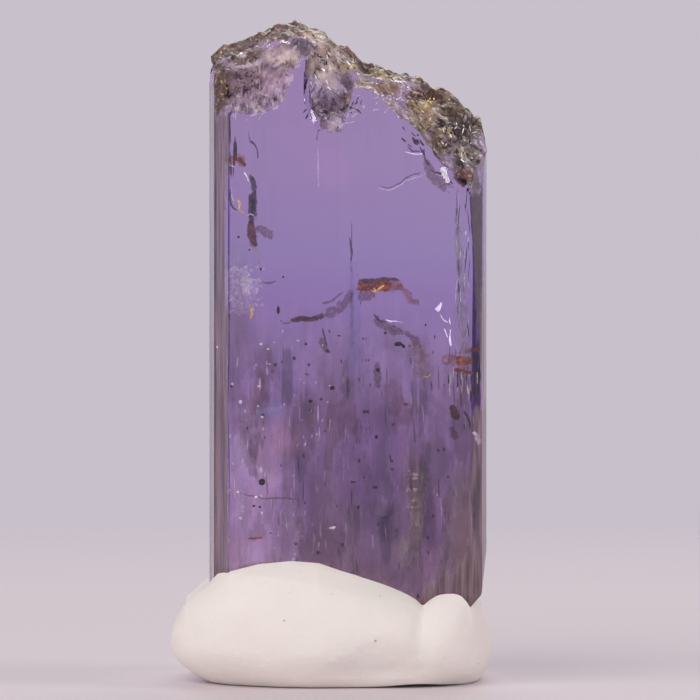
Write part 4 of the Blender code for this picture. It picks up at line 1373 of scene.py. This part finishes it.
# Painted shade and highlights of the breaks, as splinters: dark ones stand for facets turned away from the
# light, and bright and gold ones, which glow, for facets that face it. They lie in a hatched cluster under
# the crest, ribs beside it, and crumpled glass in the right corner and along the groove.
painted_shade_splinters = np.vstack(
    [
        scattered(21, 26, (303, 84, 326, 118), (-2.9, -2.4), (0.02, 0.05), (0.10, 0.28), (15, 60)),
        scattered(22, 34, (318, 98, 350, 122), (-2.9, -2.4), (0.02, 0.06), (0.10, 0.28), (20, 60)),
        scattered(23, 16, (340, 84, 365, 112), (-2.9, -2.4), (0.02, 0.05), (0.08, 0.26), (-70, 60)),
        scattered(24, 30, (440, 108, 478, 172), (-2.9, -2.2), (0.02, 0.06), (0.08, 0.30), (-50, 50)),
        scattered(25, 14, (404, 116, 452, 160), (-2.9, -2.4), (0.02, 0.06), (0.08, 0.26), (-60, -30)),
        scattered(26, 24, (232, 68, 274, 104), (-2.9, -2.4), (0.02, 0.05), (0.08, 0.26), (-80, -50)),
        scattered(27, 22, (454, 200, 470, 400), (-3.1, -2.8), (0.008, 0.024), (0.10, 0.60), (-7, 7)),
        scattered(28, 12, (448, 370, 478, 398), (-3.0, -2.6), (0.015, 0.035), (0.12, 0.30), (-4, 4)),
        scattered(29, 14, (222, 118, 236, 172), (-3.0, -2.6), (0.02, 0.04), (0.30, 0.80), (-2, 2)),
    ]
)
add_lenses("painted_shade_splinters", painted_shade_splinters, body_finish("painted_shade_splinter", (0.07, 0.035, 0.055), alpha=0.70))
painted_glint_splinters = np.vstack(
    [
        scattered(31, 16, (312, 92, 352, 120), (-3.0, -2.6), (0.015, 0.035), (0.08, 0.22), (15, 60)),
        scattered(32, 24, (310, 40, 352, 92), (-3.2, -2.8), (0.012, 0.03), (0.08, 0.24), (-60, -15)),
        scattered(33, 22, (442, 112, 480, 172), (-3.2, -2.6), (0.012, 0.03), (0.05, 0.16), (-60, 60)),
        scattered(34, 26, (228, 56, 290, 104), (-3.0, -2.6), (0.012, 0.03), (0.06, 0.20), (-80, 80)),
        scattered(35, 20, (232, 98, 262, 120), (-3.0, -2.6), (0.010, 0.025), (0.05, 0.16), (-50, 50)),
        scattered(36, 14, (454, 200, 470, 400), (-3.2, -2.8), (0.006, 0.014), (0.10, 0.60), (-7, 7)),
        scattered(37, 10, (448, 370, 478, 398), (-3.1, -2.8), (0.012, 0.03), (0.12, 0.32), (-4, 4)),
        scattered(38, 14, (352, 92, 402, 120), (-3.0, -2.6), (0.012, 0.035), (0.05, 0.16), (40, 90)),
    ]
)
painted_glint_splinter = body_finish("painted_glint_splinter", (0.90, 0.86, 0.84), glow=0.55)
add_lenses("painted_glint_splinters", painted_glint_splinters, painted_glint_splinter)
painted_gold_glint_splinters = np.vstack(
    [
        scattered(41, 5, (404, 92, 436, 106), (-3.4, -3.0), (0.02, 0.04), (0.03, 0.08), (-60, 60)),
        scattered(42, 6, (235, 68, 245, 82), (-3.0, -2.6), (0.02, 0.05), (0.04, 0.12), (-60, 60)),
        scattered(43, 8, (338, 56, 362, 76), (-3.2, -2.6), (0.012, 0.03), (0.06, 0.18), (-60, -30)),
        scattered(44, 6, (328, 124, 342, 132), (-3.0, -2.6), (0.02, 0.04), (0.04, 0.08), (-60, 60)),
        scattered(45, 4, (400, 96, 440, 124), (-3.4, -3.0), (0.012, 0.03), (0.04, 0.10), (-60, 60)),
    ]
)
add_lenses("painted_gold_glint_splinters", painted_gold_glint_splinters, body_finish("painted_gold_glint_splinter", (0.95, 0.72, 0.30), glow=0.30))

# Putty: a lump of white reusable putty, rolled in the fingers, flattened on the board and pressed up round
# the crystal's foot, where its lip follows the front face and dips between two lobes.
PUTTY_HALF_WIDTH = 6.92
PUTTY_FRONT_DEPTH = 5.60
PUTTY_BACK_DEPTH = 6.20
PUTTY_RISE = 3.90
PUTTY_SINK = 2.75
PUTTY_RIGHT_SINK = 4.20
PUTTY_WAIST = 1.60
PUTTY_WAIST_TILT = 0.15
PUTTY_POWER = 3.4
PUTTY_BACK_POWER = 5.0
PUTTY_LEFT_FOOT_POWER = 2.3
PUTTY_RIGHT_FOOT_POWER = 1.6
CREASE_X = 4.02
CREASE_DEPTH = 0.34
# A thumb has flattened the big lobe beside the crease: the line that the flat starts from, the way across
# it and how steeply it falls.
FLAT_START = (0.51, 1.48)
FLAT_ACROSS = (0.490, -0.871)
FLAT_FALL = 0.20
FOLD_X = -2.60
FOLD_DEPTH = 0.22
LUMP_HEIGHTS = (0.09, 0.05)
# Points round the lump, rows from its underside to the lip, and the gap that the lip keeps to the crystal.
PUTTY_SIDES = 400
PUTTY_ROWS = 190
LIP_GAP = 0.03
SOCKET_DEPTH_SHARES = (0.25, 0.6, 1.0)
SOCKET_FLOOR = 2.25
# Dents and lumps that fingers left, as pitch and height, and the relief of the putty's skin.
FINGER_MARKS = ((1.9, 0.085), (0.75, 0.030))
# The rim of the underside curls up a little off the board, most of all in front under the smaller lobe.
RIM_GAP = 0.03
WEDGE_GAP = 0.12
WEDGE_X = 3.60
CRUMB_RELIEF = ((0.30, 0.012), (0.11, 0.006))


def soft_bump(distance, width):
    """A bell curve: 1 at no distance, falling off over the width."""
    return np.exp(-((distance / width) ** 2))


def plan_share(x, y, power):
    """How far a point is from the middle of the putty's rounded plan, where 1 is its widest outline."""
    half_depth = np.where(y < 0, PUTTY_FRONT_DEPTH, PUTTY_BACK_DEPTH)
    return (np.abs(x / PUTTY_HALF_WIDTH) ** power + np.abs(y / half_depth) ** power) ** (1 / power)


def lip_lift(x, waist, face, lip):
    """How far the ball's upper half moves up, so that it meets a face of the crystal at that lip line."""
    at_face = np.sqrt(np.clip(1 - plan_share(x, face, PUTTY_POWER) ** 2, 0, 1))
    return np.interp(x, *zip(*lip)) - waist - PUTTY_RISE * at_face


def putty_surface(turn, climb):
    """The putty by bearing and climb angle: a squashed ball, squarer in plan above than at its foot.

    In front of the crystal and behind it the top is moved to the lip lines, and a crease, a fold and soft
    lumps are pressed into the side.
    """
    directions = np.stack([np.cos(climb) * np.cos(turn), np.cos(climb) * np.sin(turn), np.sin(climb)])
    dx, dy, dz = directions
    side = 0.5 + 0.5 * dx
    sink = PUTTY_SINK + (PUTTY_RIGHT_SINK - PUTTY_SINK) * np.clip(dx, 0, 1) ** 3
    foot_power = PUTTY_LEFT_FOOT_POWER + (PUTTY_RIGHT_FOOT_POWER - PUTTY_LEFT_FOOT_POWER) * side
    top_power = PUTTY_POWER + (PUTTY_BACK_POWER - PUTTY_POWER) * np.clip(1.6 * dy, 0, 1)
    power = foot_power + (top_power - foot_power) * np.clip(0.6 + 1.2 * dz, 0, 1)
    half_height = np.where(dz > 0, PUTTY_RISE, sink)
    reach = 1 / np.sqrt(plan_share(dx, dy, power) ** 2 + (dz / half_height) ** 2)
    x, y, rise = directions * reach
    waist = PUTTY_WAIST - PUTTY_WAIST_TILT * dx
    z = waist + rise
    front = np.clip((-1.0 - y) / 2.0, 0, 1)
    back = np.clip((y - 1.0) / 2.0, 0, 1)
    upper = np.clip(dz * 2.5, 0, 1)
    z = z + upper * front * lip_lift(x, waist, FRONT_FACE, FRONT_LIP)
    z = z + upper * back * lip_lift(x, waist, BACK_FACE, BACK_LIP)
    crease = soft_bump(x - CREASE_X - 0.10 * (z - 2.0), 0.60) * np.clip((z - 0.6) / 2.2, 0, 1)
    fold = soft_bump(x - FOLD_X, 0.80) * np.clip((z - 0.8) / 2.0, 0, 1)
    flat = np.clip(FLAT_ACROSS[0] * (x - FLAT_START[0]) + FLAT_ACROSS[1] * (z - FLAT_START[1]), 0, 1.6)
    flat = FLAT_FALL * flat * (1 - smooth_step(x, 3.7, 4.5)) * smooth_step(z, 0.1, 0.9)
    outward = LUMP_HEIGHTS[0] * np.sin(5.1 * dx + 3.3 * dz + 0.6) * np.cos(4.3 * dy - 2.2 * dz)
    outward = outward + LUMP_HEIGHTS[1] * np.sin(9.2 * dx * dy + 7.0 * dz + 1.1)
    outward = outward - front * (CREASE_DEPTH * crease + flat) - FOLD_DEPTH * back * fold
    level = np.hypot(x, y) + 1e-9
    return np.stack([x + outward * x / level, y + outward * y / level, z], axis=-1)


def planes_of(corners, breaks):
    """Outward normals and distances of the crystal's sides and corner breaks, for telling what is in it."""
    start = np.array(corners)
    along = np.roll(start, -1, axis=0) - start
    normals = [np.array([along[:, 1], -along[:, 0], np.zeros(len(start))]).T]
    places = [np.column_stack([start, np.zeros(len(start))])]
    for first, second, third, way in breaks:
        first, second, third = (np.array(p) for p in (first, second, third))
        normals.append(np.cross(second - first, third - first)[None])
        places.append(first[None])
    normals, places = np.vstack(normals), np.vstack(places)
    normals = normals / np.linalg.norm(normals, axis=1)[:, None]
    return normals, (normals * places).sum(axis=1)


def lip_climb(turn):
    """The climb angle at which the putty meets the crystal on each bearing, found by halving."""
    normals, distances = planes_of(PRISM_CORNERS, BREAKS[1:])
    low = np.zeros(turn.shape)
    high = np.full(turn.shape, math.pi / 2 - 0.01)
    for _ in range(30):
        middle = (low + high) / 2
        outside = (putty_surface(turn, middle) @ normals.T - distances).max(axis=-1) > LIP_GAP
        low = np.where(outside, middle, low)
        high = np.where(outside, high, middle)
    return low


def putty_points():
    """Rings from the flat underside over the side to the lip, then down the socket's wall to its floor."""
    turn = np.linspace(0, 2 * math.pi, PUTTY_SIDES, endpoint=False)
    lip = lip_climb(turn)
    share = np.linspace(0, 1, PUTTY_ROWS)[:, None]
    share = 1 - (1 - share) ** 1.25
    climb = -math.pi / 2 + 0.05 + share * (lip + math.pi / 2 - 0.05)
    skin = putty_surface(np.broadcast_to(turn, climb.shape), climb)
    marks = sum(size * (value_noise(skin / pitch, 61) - 0.5) for pitch, size in FINGER_MARKS + CRUMB_RELIEF)
    clear = smooth_step(lip - climb, 0.0, 0.12) * smooth_step(skin[..., 2], 0.0, 0.5)
    level = np.hypot(skin[..., 0], skin[..., 1])[..., None]
    skin[..., :2] += skin[..., :2] / level * (2 * marks * clear)[..., None]
    underside = smooth_step(plan_share(skin[..., 0], skin[..., 1], 2.0), 0.50, 0.75)
    gap = RIM_GAP + WEDGE_GAP * soft_bump(skin[..., 0] - WEDGE_X, 1.3) * (skin[..., 1] < 0)
    skin[..., 2] = np.maximum(skin[..., 2], gap * underside)
    wall = skin[-1] + np.array(SOCKET_DEPTH_SHARES)[:, None, None] * np.array([0, 0, 1]) * (
        SOCKET_FLOOR - skin[-1][:, 2:3]
    )
    rings = np.vstack([skin, wall])
    numbers = np.arange(rings.shape[0] * PUTTY_SIDES).reshape(rings.shape[:2])
    hubs = np.array([[0, 0, 0], [0, 0, SOCKET_FLOOR]])
    belts = np.vstack([quads_between(low, high) for low, high in zip(numbers[:-1], numbers[1:])])
    caps = [fan(numbers[0][::-1], numbers.size), fan(numbers[-1], numbers.size + 1)]
    return np.vstack([rings.reshape(-1, 3), hubs]), belts.tolist() + np.vstack(caps).tolist()


putty_finish = Finish("white_putty", Base_Color=(0.85, 0.765, 0.725, 1), Roughness=0.55)
putty_place = putty_finish.place()
mottle = putty_finish.noise(putty_place, 0.55, detail=3.0).between(0.35, 0.70)
putty_colour = putty_finish.blend(mottle, (0.845, 0.795, 0.740), (0.82, 0.785, 0.735))
flecks = putty_finish.cells(putty_place, 1.15, randomness=1.0).between(0.075, 0.045)
scarce = putty_finish.noise(putty_place, 0.9, detail=0.0).between(0.56, 0.62)
putty_colour = putty_finish.blend(flecks * scarce, putty_colour, (0.50, 0.43, 0.38))
putty_finish.set("Base Color", putty_colour)
pores = putty_finish.noise(putty_place, 5.0, detail=4.0, roughness=0.6)
putty_finish.set("Normal", putty_finish.bump(pores, 0.05, 0.5))
surface, faces = putty_points()
putty = grid_piece("putty", surface, faces, putty_finish)
putty.data.shade_smooth()
putty.data.set_sharp_from_angle(angle=math.radians(50))
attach(putty, "root")
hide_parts("mounting_putty")

# Colours are shown as they are, and light may pass through many layers of glass and film.
scene = bpy.context.scene
scene.view_settings.view_transform = "Standard"
scene.cycles.max_bounces = 20
scene.cycles.glossy_bounces = 12
scene.cycles.transmission_bounces = 16
scene.cycles.transparent_max_bounces = 24
